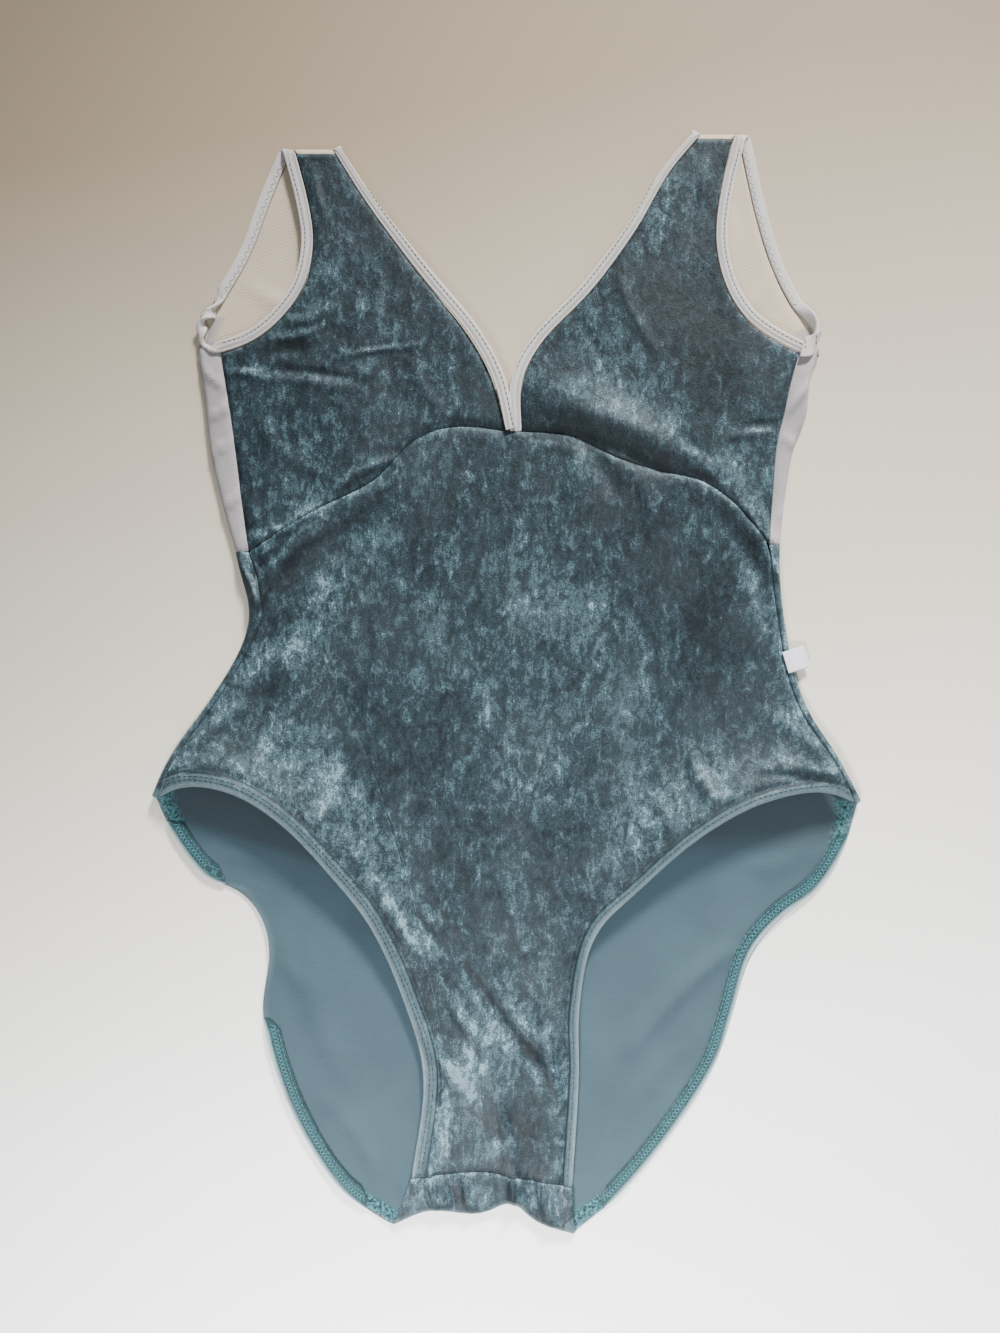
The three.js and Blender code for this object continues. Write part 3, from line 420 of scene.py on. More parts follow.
def crease_rise(points, creases):
    """Height of all creases at each point, in metres."""
    total = np.zeros(len(points))
    for c in creases:
        start, end = placed([(c.x0, c.y0), (c.x1, c.y1)])
        along = end - start
        size = np.linalg.norm(along)
        gap = points - start
        share = gap @ along / size**2
        inside = np.clip(share, 0, 1)
        across = (gap[:, 0] * along[1] - gap[:, 1] * along[0]) / size
        across -= c.bow * MM * 4 * inside * (1 - inside)
        beyond = (share - inside) * size
        fade = END_SHARE + (1 - END_SHARE) * np.sin(math.pi * inside) ** 0.8
        total += c.rise * MM * fade * bell(np.hypot(across, beyond), c.width * MM)
    return total


# How fast a seam's puckers, their drift and their swell turn, in radians to a millimetre
PUCKER_TURN = 0.78
DRIFT_TURN = 0.21
SWELL_TURN = 0.13
DRIFT = 1.6


def seam_rise(points, seams):
    """Height along the seams: a narrow valley with uneven puckers on its banks."""
    total = np.zeros(len(points))
    for s in seams:
        distance, arc = from_path(points, s.path)
        wave = np.sin(arc / MM * PUCKER_TURN + DRIFT * np.sin(arc / MM * DRIFT_TURN))
        swell = 0.6 + 0.4 * np.sin(arc / MM * SWELL_TURN + 1)
        bank = np.exp(-np.abs(distance) / (2.4 * s.reach * MM))
        total -= s.depth * MM * bell(distance, s.reach * MM)
        total += s.pucker * MM * wave * swell * bank
    return total


def channel_rise(points, channels):
    total = np.zeros(len(points))
    for c in channels:
        distance, _ = from_path(points, c.path)
        total += c.rise * MM * bell(distance - c.offset * MM, c.width * MM)
    return total


# Waves of the crushed cloth: how many come in a metre across and down, and their layer of the noise
WIDE_WAVES = (70, 34, 0.3)
SMALL_WAVES = (190, 96, 4.1)
SMALL_SHARE = 0.55


def crush_rise(points, height):
    """Small uneven waves of crushed cloth, drawn out from neck to crotch."""
    wide, small = (
        np.array([noise.noise(Vector((x * across, y * down, layer))) for x, y in points])
        for across, down, layer in (WIDE_WAVES, SMALL_WAVES)
    )
    return height * (wide + SMALL_SHARE * small)


# The front's leg edges lift off the back, over the first share of their length
EDGE_LIFT = 4.8
EDGE_REACH = 22
LIFTED_SHARE = 0.62


def upper_part(arc):
    """1 near the top of a leg edge and 0 at its corner and where it lies down."""
    share = np.clip(arc / (LIFTED_SHARE * arc.max()), 0, 1)
    return np.sin(math.pi * share**0.6)


def edge_lift(points):
    total = np.zeros(len(points))
    for path in FRONT_LEG_EDGES:
        distance, arc = from_path(points, path)
        total += EDGE_LIFT * MM * bell(distance, EDGE_REACH * MM) * upper_part(arc)
    return total


# Lower ends of the front's shade in the two leg openings, how soft each is, and their half width
SHADES = [((-179, -79), (-100, -105), 2.5), ((90, -93), (190, -87), 6)]
SHADE_REACH = 70 * MM


def opening_shade(points):
    """1 on the inside of the back above the lower ends of the front's shade."""
    total = np.zeros(len(points))
    for start, end, soft in SHADES:
        a, b = placed([start, end])
        run = b - a
        above = ((points - a) @ [-run[1], run[0]]) / np.linalg.norm(run)
        near = np.abs(points[:, 0] - (a[0] + b[0]) / 2) < SHADE_REACH
        total += np.clip(0.5 + above / (2 * soft * MM), 0, 1) * near
    return total


# Painted light on tilted cloth: the way the key light comes from, how much a face tilted towards it
# is brightened (and one tilted away darkened), and the most it is
LIGHT_FROM = np.array([0.3, 0.95])
TILT_LIGHT = 0.7
MOST_TILT_LIGHT = 0.3


# Painted highlights and painted shade of the patches, summed at each point
def painted_patch_light(points):
    total = np.zeros(len(points))
    for n in PAINTED_LIGHT_PATCHES:
        angle = math.radians(n.turn)
        gap = points - placed([(n.x, n.y)])[0]
        along = (gap[:, 0] * math.cos(angle) + gap[:, 1] * math.sin(angle)) / (n.along * MM)
        across = (gap[:, 1] * math.cos(angle) - gap[:, 0] * math.sin(angle)) / (n.across * MM)
        total += n.light * np.exp(-(along**2 + across**2))
    return total


# Shells on the CAD solids

# Edges that turn by more than this stay crisp, and part a solid's two skins
SHARP = math.radians(58)
CRISPNESS = 0.8
# Corners nearer than this are one, and triangles that bend less than this join into quads
WELD = 0.01 * MM
JOINED = math.radians(40)
# A skin is sought from a face whose normal points up or down by more than this
UPRIGHT = 0.8
# The finished shell of each CAD node, for the stitches
surfaces = {}


def added(name, data):
    """A new object in the scene that shows the data."""
    thing = bpy.data.objects.new(name, data)
    bpy.context.scene.collection.objects.link(thing)
    return thing


def mesh_from(name, bm):
    """A mesh of what a bmesh holds, which is freed."""
    mesh = bpy.data.meshes.new(name)
    bm.to_mesh(mesh)
    bm.free()
    return mesh


def skin_from(bm, place, facing):
    """The faces of the skin that holds the face nearest a place and facing up or down."""
    able = [f for f in bm.faces if f.normal.z * facing > UPRIGHT]
    seed = min(able, key=lambda f: (f.calc_center_median().xy - place).length)
    found = {seed}
    waiting = [seed]
    while waiting:
        face = waiting.pop()
        for edge in face.edges:
            if len(edge.link_faces) == 2 and edge.calc_face_angle() < SHARP:
                for other in edge.link_faces:
                    if other not in found:
                        found.add(other)
                        waiting.append(other)
    return found


def refined(name, levels, inner_from=None):
    """A smooth fine copy of a CAD node. Its inner skin, if asked for, takes the second material."""
    bm = bmesh.new()
    bm.from_mesh(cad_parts[name].data)
    bmesh.ops.remove_doubles(bm, verts=bm.verts, dist=WELD)
    bmesh.ops.join_triangles(
        bm, faces=bm.faces, angle_face_threshold=JOINED, angle_shape_threshold=math.pi
    )
    sharpness = bm.edges.layers.float.new("crease_edge")
    for edge in bm.edges:
        if len(edge.link_faces) == 2 and edge.calc_face_angle() > SHARP:
            edge[sharpness] = CRISPNESS
    for face in bm.faces:
        face.smooth = True
        face.material_index = 0
    if inner_from:
        for face in skin_from(bm, *inner_from):
            face.material_index = 1
    rough = mesh_from(name + "_cut", bm)
    holder = added(name + "_cut", rough)
    finer = holder.modifiers.new("finer", "SUBSURF")
    finer.levels = levels
    finer.render_levels = levels
    ready = holder.evaluated_get(bpy.context.evaluated_depsgraph_get())
    mesh = bpy.data.meshes.new_from_object(ready)
    mesh.name = name + "_cloth"
    bpy.data.objects.remove(holder)
    bpy.data.meshes.remove(rough)
    return mesh


def vectors(items, key):
    """A row of three numbers for each of a mesh's items."""
    flat = np.empty(len(items) * 3)
    items.foreach_get(key, flat)
    return flat.reshape(-1, 3)


def upper(facing):
    """1 on a piece's upper side, 0 on its rim and below."""
    return np.clip(facing[:, 2] * 2, 0, 1)


def swell_rim(points, facing, reach):
    """Moves a piece's rim outward, so that it nearly meets its neighbour along a seam."""
    rim = np.clip(1.25 - 1.4 * np.abs(facing[:, 2]), 0, 1)
    points[:, :2] += facing[:, :2] * rim[:, None] * reach


def keep_attribute(mesh, name, values):
    attribute = mesh.attributes.new(name, "FLOAT", "POINT")
    attribute.data.foreach_set("value", values.astype(np.float32))


def finish_piece(name, mesh, materials):
    """Makes a mesh the piece that stands for the CAD node of its name."""
    for material in materials:
        mesh.materials.append(material)
    piece = added(name + "_sewn", mesh)
    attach(piece, "root")
    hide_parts(name)
    bm = bmesh.new()
    bm.from_mesh(mesh)
    surfaces[name] = BVHTree.FromBMesh(bm)
    bm.free()


# A back panel that wraps forward takes the front's creases between these heights
FRONT_LOW = 2.6 * MM
FRONT_HIGH = 4.4 * MM
# How thick the velvet is, the height its front stays above, and the most a crease behind it rises
VELVET = 1.4 * MM
FRONT_FLOOR = 2.9 * MM
BACK_RISE = 1.3 * MM
# Height of the waves behind, and of those on bindings and hems, as a share of the front's
BACK_WAVES = 0.6
TRIM_WAVES = 0.5
# How far a panel's rim moves outward, and the least height of any cloth over the table
RIM_REACH = 0.24 * MM
TABLE_GAP = 0.02 * MM


def laid_cloth(
    name, materials, sizes, inner_from,
    on_front=True, channels=(), bands=(), crush=1, shaped=None,
):
    """A panel with its layer's creases, and the front's where a back panel wraps forward."""
    mesh = refined(name, sizes.refine, inner_from)
    points = vectors(mesh.vertices, "co")
    facing = vectors(mesh.vertex_normals, "vector")
    flat = points[:, :2].copy()
    share = sizes.crease_share
    front = crease_rise(flat, FRONT_CREASES) * share + seam_rise(flat, SEAMS)
    front += crush_rise(flat, sizes.crush_relief * crush) + edge_lift(flat) * bool(channels)
    under = points[:, 2] - VELVET * upper(facing)
    front = np.maximum(front, np.minimum(FRONT_FLOOR - under, 0))
    if on_front:
        rise = front
    else:
        back = crease_rise(flat, BACK_CREASES) * share
        back += np.abs(crush_rise(flat, sizes.crush_relief * crush * BACK_WAVES))
        back = np.minimum(back, BACK_RISE) + crease_rise(flat, OPENING_CREASES) * share
        step = np.clip((points[:, 2] - FRONT_LOW) / (FRONT_HIGH - FRONT_LOW), 0, 1)
        rise = back * (1 - step) + front * step
    if channels:
        rise = rise + channel_rise(flat, channels) * upper(facing)
    swell_rim(points, facing, RIM_REACH)
    points[:, 2] = np.maximum(points[:, 2] + rise, TABLE_GAP)
    if shaped:
        shaped(points)
    mesh.vertices.foreach_set("co", points.ravel())
    mesh.update()
    after = vectors(mesh.vertex_normals, "vector")
    # Painted light: faces tilted towards the key light are brightened and those tilted away
    # darkened, on the upper side only; with the painted patches this sets the pile's painted light
    tilt_light = np.clip(after[:, :2] @ LIGHT_FROM * TILT_LIGHT, -MOST_TILT_LIGHT, MOST_TILT_LIGHT) * upper(facing)
    keep_attribute(mesh, "slope", tilt_light)
    keep_attribute(mesh, "nap", painted_patch_light(flat) + tilt_light)
    # Painted highlight along the edges of the bands, where the pile stands out
    keep_attribute(mesh, "rim", highlighted_edges(flat, [b.path for b in bands]))
    keep_attribute(mesh, "band", turned_band(flat, bands))
    keep_attribute(mesh, "shade", opening_shade(flat))
    finish_piece(name, mesh, materials)


BAND_FADE = 1.3 * MM
BAND_OUTSIDE = 2 * MM


def turned_band(points, bands):
    """1 on the turned bands, fading to 0 over their inner edge."""
    total = np.zeros(len(points))
    for b in bands:
        distance, arc = from_path(points, b.path)
        share = arc / arc.max()
        inside = (share >= b.start) & (share <= b.stop) & (distance * b.side > -BAND_OUTSIDE)
        band = np.clip((b.width * MM - distance * b.side) / BAND_FADE, 0, 1)
        total = np.maximum(total, band * inside)
    return total


RIM_FADE = 2.0 * MM


def highlighted_edges(points, paths):
    """1 along an edge, where the pile stands out and a highlight is painted, and 0 from 2.6
    millimetres off it.
    """
    total = np.zeros(len(points))
    for path in paths:
        distance, _ = from_path(points, path)
        total = np.maximum(total, np.clip(1.3 - np.abs(distance) / RIM_FADE, 0, 1))
    return total


# The yoke's turned sides: where they are, and how far their tops move up and sink
SIDES_FROM = 150 * MM
SIDES_TOP = 185 * MM
TUCKED = 9 * MM
TUCK = 5 * MM
TUCK_SINK = 1.4 * MM


def tuck_under_bindings(points):
    """The yoke's turned sides end under the armhole bindings, not beside them."""
    x, y, z = points.T
    share = np.clip((y - (SIDES_TOP - TUCKED)) / TUCKED, 0, 1)
    share *= (np.abs(x) > SIDES_FROM) & (z > FRONT_LOW) & (y < SIDES_TOP + 3 * MM)
    points[:, 1] += TUCK * share
    points[:, 2] -= TUCK_SINK * share


def twisted(points):
    """Turns the left armhole binding about its own middle line at the underarm."""
    line = (np.array(TWIST_LINE) + [0, LAYOUT_SHIFT_Y, 0]) * MM
    knots = arc_along(line)
    middle = read_off(np.linspace(0, knots[-1], 80), knots, line)
    gap = points[:, None, :] - middle[None]
    distance = np.linalg.norm(gap, axis=2)
    nearest = distance.argmin(1)
    near = (distance.min(1) < TWIST_REACH) & (nearest > 0) & (nearest < len(middle) - 1)
    share = nearest / (len(middle) - 1)
    angle = TWIST_TURNS * 2 * math.pi * share**2 * (3 - 2 * share) * near
    axis = headings(middle)[nearest]
    arm = gap[np.arange(len(points)), nearest]
    cos = np.cos(angle)[:, None]
    sin = np.sin(angle)[:, None]
    along = (arm * axis).sum(1)[:, None] * axis
    turned = arm * cos + np.cross(axis, arm) * sin + along * (1 - cos)
    fuller = 1 + TWIST_SWELL * np.sin(math.pi * share)[:, None]
    points[near] = (middle[nearest] + turned * fuller)[near]


# How far down from its top end the neck binding is narrowed, and by what share at most
NARROWED = 95 * MM
NARROW_SHARE = 0.42
# Only what lies above this height and within this distance of the edge is narrowed
NARROW_FROM = 2 * MM
NARROW_REACH = 9 * MM


def narrow_at_shoulders(points):
    """The neck binding rolls in towards the shoulders, so less of its width shows there."""
    for rows, side in BINDING_SIDES[:2]:
        (x0, y0), (x1, y1) = rows[:2]
        path = [(1.2 * x0 - 0.2 * x1, 1.2 * y0 - 0.2 * y1), *rows]
        distance, arc = from_path(points[:, :2], path)
        offset = distance * side
        high = np.clip((points[:, 2] - NARROW_FROM) / MM, 0, 1)
        high *= (offset > 0) & (offset < NARROW_REACH)
        share = np.clip(1 - arc / NARROWED, 0, 1) * high
        points[:, :2] -= right_at(path, arc) * (side * offset * NARROW_SHARE * share)[:, None]


# The last stretch of a hem tapers by a share of its width, off its outer edge, and sinks
TAPER = 9 * MM
TAPER_SHARE = 0.75
TAPER_EDGE = 0.6 * MM
TAPER_SINK = 0.5 * MM


def taper_ends(rows, side):
    """Narrows a hem to its outer edge at both of its ends."""

    def shaped(points):
        distance, arc = from_path(points[:, :2], rows)
        end = np.minimum(arc - arc.min(), arc.max() - arc) / TAPER
        share = 1 - np.clip(end, 0, 1) ** 0.7
        offset = distance * side - TAPER_EDGE
        points[:, :2] -= right_at(rows, arc) * (side * offset * TAPER_SHARE * share)[:, None]
        points[:, 2] -= TAPER_SINK * share

    return shaped


# A groove of this depth takes its material's full shade
GROOVE = 0.4 * MM


def trim(name, materials, sizes, channels=(), shaped=None, outer=None):
    """A binding, hem or label: its solid's form with grooves on its upper side."""
    mesh = refined(name, sizes.refine)
    points = vectors(mesh.vertices, "co")
    facing = vectors(mesh.vertex_normals, "vector")
    flat = points[:, :2].copy()
    rise = channel_rise(flat, channels) * upper(facing)
    keep_attribute(mesh, "groove", np.clip(-rise / GROOVE, 0, 1))
    rise += crush_rise(flat, sizes.crush_relief * TRIM_WAVES) * upper(facing)
    if outer:
        keep_attribute(mesh, "rim", highlighted_edges(flat, [outer]))
        rise += edge_lift(flat) * (outer in FRONT_LEG_EDGES)
    points[:, 2] += rise
    if shaped:
        shaped(points)
    points[:, 2] = np.maximum(points[:, 2], TABLE_GAP)
    mesh.vertices.foreach_set("co", points.ravel())
    mesh.update()
    finish_piece(name, mesh, materials)


# Materials


class Finish:
    """A material's nodes, added one after another."""

    def __init__(self, name, roughness, sheen=0.0, sheen_roughness=0.4, sheen_tint=(1, 1, 1)):
        self.material = bpy.data.materials.new(name)
        self.material.use_nodes = True
        self.nodes = self.material.node_tree.nodes
        self.links = self.material.node_tree.links
        self.shader = self.nodes["Principled BSDF"]
        self.fill(
            self.shader, Roughness=roughness, Sheen_Weight=sheen, Sheen_Roughness=sheen_roughness,
            Sheen_Tint=(*sheen_tint, 1), Specular_IOR_Level=0.25,
        )
        self.place = self.node("TexCoord").outputs["Object"]

    def set(self, node, socket, value):
        """Gives a socket a value, or links it to another node's output."""
        if isinstance(value, bpy.types.NodeSocket):
            self.links.new(value, node.inputs[socket])
        else:
            node.inputs[socket].default_value = value

    def fill(self, node, **sockets):
        """Sets a node's sockets by name, with _ for a space."""
        for name, value in sockets.items():
            self.set(node, name.replace("_", " "), value)

    def node(self, kind, **sockets):
        node = self.nodes.new("ShaderNode" + kind)
        self.fill(node, **sockets)
        return node

    def stretched(self, scale):
        return self.node("Mapping", Vector=self.place, Scale=scale).outputs["Vector"]

    def noise(self, place, scale, detail=3.0, roughness=0.5, distortion=0.0):
        node = self.node(
            "TexNoise", Vector=place, Scale=scale, Detail=detail, Roughness=roughness,
            Distortion=distortion,
        )
        return node.outputs["Fac"]

    def ribs(self, turn, spacing, direction="Y", distortion=0.0):
        """Parallel ribs, turned and so far apart: the wave's own period is pi / 10."""
        place = self.node("Mapping", Vector=self.place, Rotation=(0, 0, turn)).outputs["Vector"]
        node = self.node(
            "TexWave", Vector=place, Scale=math.pi / 10 / spacing, Distortion=distortion,
            Detail=1.0, Detail_Scale=0.3,
        )
        node.bands_direction = direction
        return node.outputs["Fac"]

    def math(self, operation, *values):
        node = self.nodes.new("ShaderNodeMath")
        node.operation = operation
        for k, value in enumerate(values):
            self.set(node, k, value)
        return node.outputs[0]

    def times(self, first, second):
        return self.math("MULTIPLY", first, second)

    def summed(self, value, factor, rest):
        """A value times a factor, plus the rest."""
        return self.math("MULTIPLY_ADD", value, factor, rest)

    def ramp(self, value, stops):
        """A colour for each value, from (place, colour) stops."""
        node = self.nodes.new("ShaderNodeValToRGB")
        elements = node.color_ramp.elements
        while len(elements) < len(stops):
            elements.new(0.5)
        for element, (place, tone) in zip(elements, stops):
            element.position = place
            element.color = (*tone, 1)
        self.set(node, "Fac", value)
        return node.outputs["Color"]

    def mix(self, share, first, second, blend="MIX"):
        node = self.nodes.new("ShaderNodeMix")
        node.data_type = "RGBA"
        node.blend_type = blend
        self.set(node, 0, share)
        for socket, value in ((6, first), (7, second)):
            self.set(node, socket, value if isinstance(value, bpy.types.NodeSocket) else (*value, 1))
        return node.outputs[2]

    def attribute(self, name):
        node = self.nodes.new("ShaderNodeAttribute")
        node.attribute_name = name
        return node.outputs["Fac"]

    def bump(self, height, strength, distance):
        node = self.node("Bump", Strength=strength, Distance=distance, Height=height)
        self.set(self.shader, "Normal", node.outputs["Normal"])

    def done(self, tone):
        self.set(self.shader, "Base Color", tone)
        return self.material


def crushed_velvet(tones):
    """Crushed pile: faint clouds, ragged mottles and a fine grain, a little drawn out downwards."""
    f = Finish("crushed_velvet", 0.6, 0.5, 0.3, (0.5, 0.62, 0.66))
    drawn = f.stretched((1, 0.62, 1))
    clouds = f.noise(f.stretched((1, 0.8, 1)), 22, 2, 0.5, 0.4)
    mottle = f.noise(drawn, 150, 3, 0.62, 0.7)
    small = f.noise(drawn, 400, 3, 0.6, 0.5)
    grain = f.noise(f.place, 1300, 2, 0.6)
    # Thin lines where the streaks pass a middle value
    streaks = f.noise(f.stretched((1, 0.14, 1)), 210, 2, 0.5, 0.5)
    line = f.math("SUBTRACT", 1, f.math("ABSOLUTE", f.summed(streaks, 30, -17.4)))
    line = f.times(f.math("MAXIMUM", line, 0), mottle)
    shade = f.summed(clouds, 0.75, -1.29)
    for layer, share in ((mottle, 1.25), (small, 0.85), (grain, 0.75), (line, 0.28)):
        shade = f.summed(layer, share, shade)
    # Painted highlights and painted shade join the pile's tone here
    shade = f.math("ADD", shade, f.attribute("nap"))
    tone_stops = [
        (0.1, tones.velvet_deep),
        (0.32, tones.velvet_dark),
        (0.46, tones.velvet_mid),
        (0.56, tones.velvet_mid),
        (0.72, tones.velvet_light),
        (0.84, tones.velvet_light),
        (1.0, tones.velvet_bright),
    ]
    pile = f.ramp(shade, tone_stops)
    warmth = f.summed(f.noise(f.place, 24, 2, 0.5, 0.4), 2.4, -1.15)
    warmth = f.math("MAXIMUM", f.math("MINIMUM", warmth, 0.3), 0)
    pile = f.mix(warmth, pile, tones.velvet_warm)
    fleck = f.ramp(grain, [(0.34, (0.7, 0.7, 0.7)), (0.66, (1.2, 1.2, 1.2))])
    pile = f.mix(1.0, pile, fleck, "MULTIPLY")
    # The turned edges, whose flat pile also takes the painted light, with a painted shade line where
    # the pile dips along their inner side
    short = f.summed(f.attribute("nap"), 0.25, small)
    flat_pile = f.ramp(short, [(0.3, tones.velvet_light), (0.6, tones.velvet_band)])
    band = f.attribute("band")
    pile = f.mix(f.times(band, 0.66), pile, flat_pile)
    fold = f.times(f.times(band, f.math("SUBTRACT", 1, band)), 3.2)
    pile = f.mix(fold, pile, tones.velvet_deep)
    # Painted highlight along the folded edges, where the pile stands out
    pile = f.mix(f.times(f.attribute("rim"), 0.2), pile, tones.edge_highlight)
    f.bump(f.summed(small, 0.5, f.summed(grain, 0.35, mottle)), 0.5, 1.0 * MM)
    return f.done(pile)


# The front's shade on the inside of the back
SHADOW = (0.02, 0.022, 0.022)


def darker(tone, share):
    return [c * share for c in tone]


def plain_knit(tones):
    """Inside of the velvet: fine courses across, a faint cloudiness and the turned leg edges, with
    painted light on tilted faces, the front's painted shadow and a faint painted highlight along the
    edges.
    """
    f = Finish("velvet_inside", 0.85, 0.15, 0.5, (0.8, 0.9, 0.95))
    courses = f.ribs(0.04, 0.95 * MM, "Y", 1.2)
    clouds = f.noise(f.place, 26, 3, 0.5, 0.3)
    grain = f.noise(f.place, 1500, 2, 0.5)
    tone = f.math("ADD", f.times(courses, 0.12), f.times(clouds, 0.55))
    tone = f.math("ADD", tone, f.times(grain, 0.3))
    light = [min(1, c * 1.25) for c in tones.knit]
    f.bump(f.summed(grain, 0.6, courses), 0.25, 0.25 * MM)
    # Painted light: faces are brightened towards the key light and darkened away from it
    tone = f.math("ADD", tone, f.attribute("slope"))
    inside = f.ramp(tone, [(0.2, darker(tones.knit, 0.72)), (0.8, light)])
    flecks = f.noise(f.place, 620, 3, 0.6)
    turned = f.ramp(flecks, [(0.4, tones.hem_dark), (0.64, tones.aqua_thread)])
    inside = f.mix(f.times(f.attribute("shade"), 0.5), inside, SHADOW)
    inside = f.mix(f.attribute("band"), inside, turned)
    return f.done(f.mix(f.times(f.attribute("rim"), 0.1), inside, tones.edge_highlight))


def light_knit(tones):
    """Yoke: a fine stretch knit with ribs both ways, with painted light on tilted faces and painted
    shade greying its turned sides.
    """
    f = Finish("yoke_knit", 0.8, 0.2, 0.5)
    courses = f.ribs(0.12, 0.8 * MM, "Y", 1.5)
    weave = f.times(courses, f.ribs(-0.08, 1.1 * MM, "X", 1.5))
    tone = f.summed(f.noise(f.place, 30, 3), 0.6, f.times(weave, 0.3))
    # Painted light: faces are brightened towards the key light and darkened away from it
    tone = f.summed(f.attribute("slope"), 1.5, tone)
    f.bump(f.math("ADD", weave, courses), 0.3, 0.25 * MM)
    hollow = f.ramp(tone, [(0.15, darker(tones.yoke, 0.86)), (0.6, tones.yoke)])
    turned = f.ramp(tone, [(0.1, darker(tones.yoke_side_shaded, 0.62)), (0.6, tones.yoke_side_shaded)])
    return f.done(f.mix(f.attribute("band"), hollow, turned))


def white_binding(tones):
    """Stretch tape with fine slanting ribs, shaded in its grooves."""
    f = Finish("binding_tape", 0.55, 0.25, 0.4)
    rib = f.ribs(0.8, 0.55 * MM, "Y", 0.8)
    grain = f.noise(f.place, 900, 3)
    f.bump(f.summed(grain, 0.8, rib), 0.2, 0.2 * MM)
    tone = f.summed(f.noise(f.place, 60, 2), 0.7, f.times(grain, 0.3))
    tape = f.ramp(tone, [(0.25, darker(tones.binding, 0.84)), (0.65, tones.binding)])
    return f.done(f.mix(f.times(f.attribute("groove"), 0.4), tape, tones.white_thread))


def turned_hem(tones):
    """Pile of the turned hems: deep and green with small flecks, and a pale rim where the pile
    stands out, a painted highlight.
    """
    f = Finish("hem_velvet", 0.7, 0.5, 0.4, (0.8, 0.95, 0.95))
    flecks = f.noise(f.stretched((1, 0.6, 1)), 700, 4, 0.65, 0.6)
    mottle = f.noise(f.place, 190, 3, 0.55, 0.5)
    tone = f.math("ADD", f.times(flecks, 0.6), f.times(mottle, 0.4))
    f.bump(flecks, 0.5, 0.5 * MM)
    turned = f.ramp(tone, [(0.35, tones.hem_dark), (0.66, tones.hem_light)])
    return f.done(f.mix(f.times(f.attribute("rim"), 0.8), turned, tones.edge_highlight))


def satin_tape(tones):
    f = Finish("label_satin", 0.35, 0.1)
    rib = f.ribs(-0.3, 0.35 * MM, "X")
    f.bump(rib, 0.15, 0.1 * MM)
    return f.done(f.ramp(rib, [(0, darker(tones.label_tape, 0.9)), (1, tones.label_tape)]))


def sewing_thread(name, tone):
    f = Finish(name, 0.6, 0.2)
    twist = f.ribs(0.6, 0.3 * MM, "X", 0.5)
    f.bump(twist, 0.3, 0.1 * MM)
    return f.done(f.ramp(twist, [(0, darker(tone, 0.8)), (1, tone)]))


def pale_table(tones):
    """A pale table with a painted falloff of light: warmer and darker towards its far left corner.
    """
    f = Finish("pale_table", 0.5)
    apart = f.node("SeparateXYZ", Vector=f.place)
    across = f.summed(apart.outputs["X"], 0.2, 0.45)
    down = f.summed(apart.outputs["Y"], -1.25, across)
    down = f.summed(f.noise(f.place, 3, 2), 0.1, down)
    stops = [(0.08, tones.floor_shaded), (0.5, tones.floor_middle), (0.8, tones.floor)]
    return f.done(f.ramp(down, stops))


made = {}


def material(maker, tones):
    """Each material is made once, when the first piece asks for it."""
    if maker.__name__ not in made:
        made[maker.__name__] = maker(tones)
    return made[maker.__name__]


# Stitches

# A row of stitches: the piece it is sewn to, the edge it follows and its offset to the edge's right,
# half the width of its zigzag, its thread, its start and stop in shares of the edge, and its phase
Row = namedtuple("Row", "name on path offset half_width thread start stop phase", defaults=[0, 1, 0])
ARM_LEFT = "armhole_binding_left"
ARM_RIGHT = "armhole_binding_right"
ROWS = rows_of(Row, [
    ("neck_left_stitches", "neck_binding", NECKLINE_LEFT, -5.1, 0, "white_thread", 0.03),
    ("neck_right_stitches", "neck_binding", NECKLINE_RIGHT, 5.1, 0, "white_thread", 0.03, 0.84),
    ("arm_left_stitches", ARM_LEFT, ARMHOLE_FRONT_LEFT, 5.1, 0, "white_thread", 0.03),
    ("arm_right_stitches", ARM_RIGHT, ARMHOLE_FRONT_RIGHT, -5.1, 0, "white_thread", 0.03),
    ("arm_left_zigzag", ARM_LEFT, ARMHOLE_BACK_LEFT, 2.2, 1.2, "loop_thread", 0.04),
    ("arm_right_zigzag", ARM_RIGHT, ARMHOLE_BACK_RIGHT, -2.2, 1.2, "loop_thread", 0.04),
    ("hem_left_outer_row", "front_body", LEG_FRONT_LEFT, -3.4, 0, "teal_thread", 0.02, 0.985),
    ("hem_left_inner_row", "front_body", LEG_FRONT_LEFT, -5.4, 0, "teal_thread", 0.02, 0.985),
    ("hem_right_row", "front_body", LEG_FRONT_RIGHT, 3.0, 0, "teal_thread", 0.02, 0.985),
    *[
        (f"{name}_{kind}", name, path, side * offset, half, "aqua_thread", 0, 1, phase)
        for name, path, side in BACK_HEMS
        for kind, offset, half, phase in (
            ("loops_over", 5.0, 1.8, 0),
            ("loops_under", 5.0, 1.8, 1),
            ("inner_row", 7.6, 0, 0),
        )
    ],
    ("join_inner", "binding_join_right", [(168.6, 197), (168.6, 186)], 0, 0, "white_thread"),
    ("join_outer", "binding_join_right", [(175, 197), (175, 186)], 0, 0, "white_thread"),
    ("crotch_stitches", "front_body", CROTCH_SEAM, -1.6, 0, "teal_thread", 0.04, 0.96),
])
ZIGZAG_PITCH = 2.3 * MM
STITCH_SPACING = 0.1 * MM
# Stitches are laid from this height, and not where the cloth's upward share is less than this
ABOVE = 0.1
UPWARD = 0.3


def dropped(tree, x, y):
    """Where a point lies on a finished shell, seen from above, or None beside it."""
    place, normal, _, _ = tree.ray_cast(Vector((x, y, ABOVE)), Vector((0, 0, -1)))
    if place is None or normal.z < UPWARD:
        return None
    return place


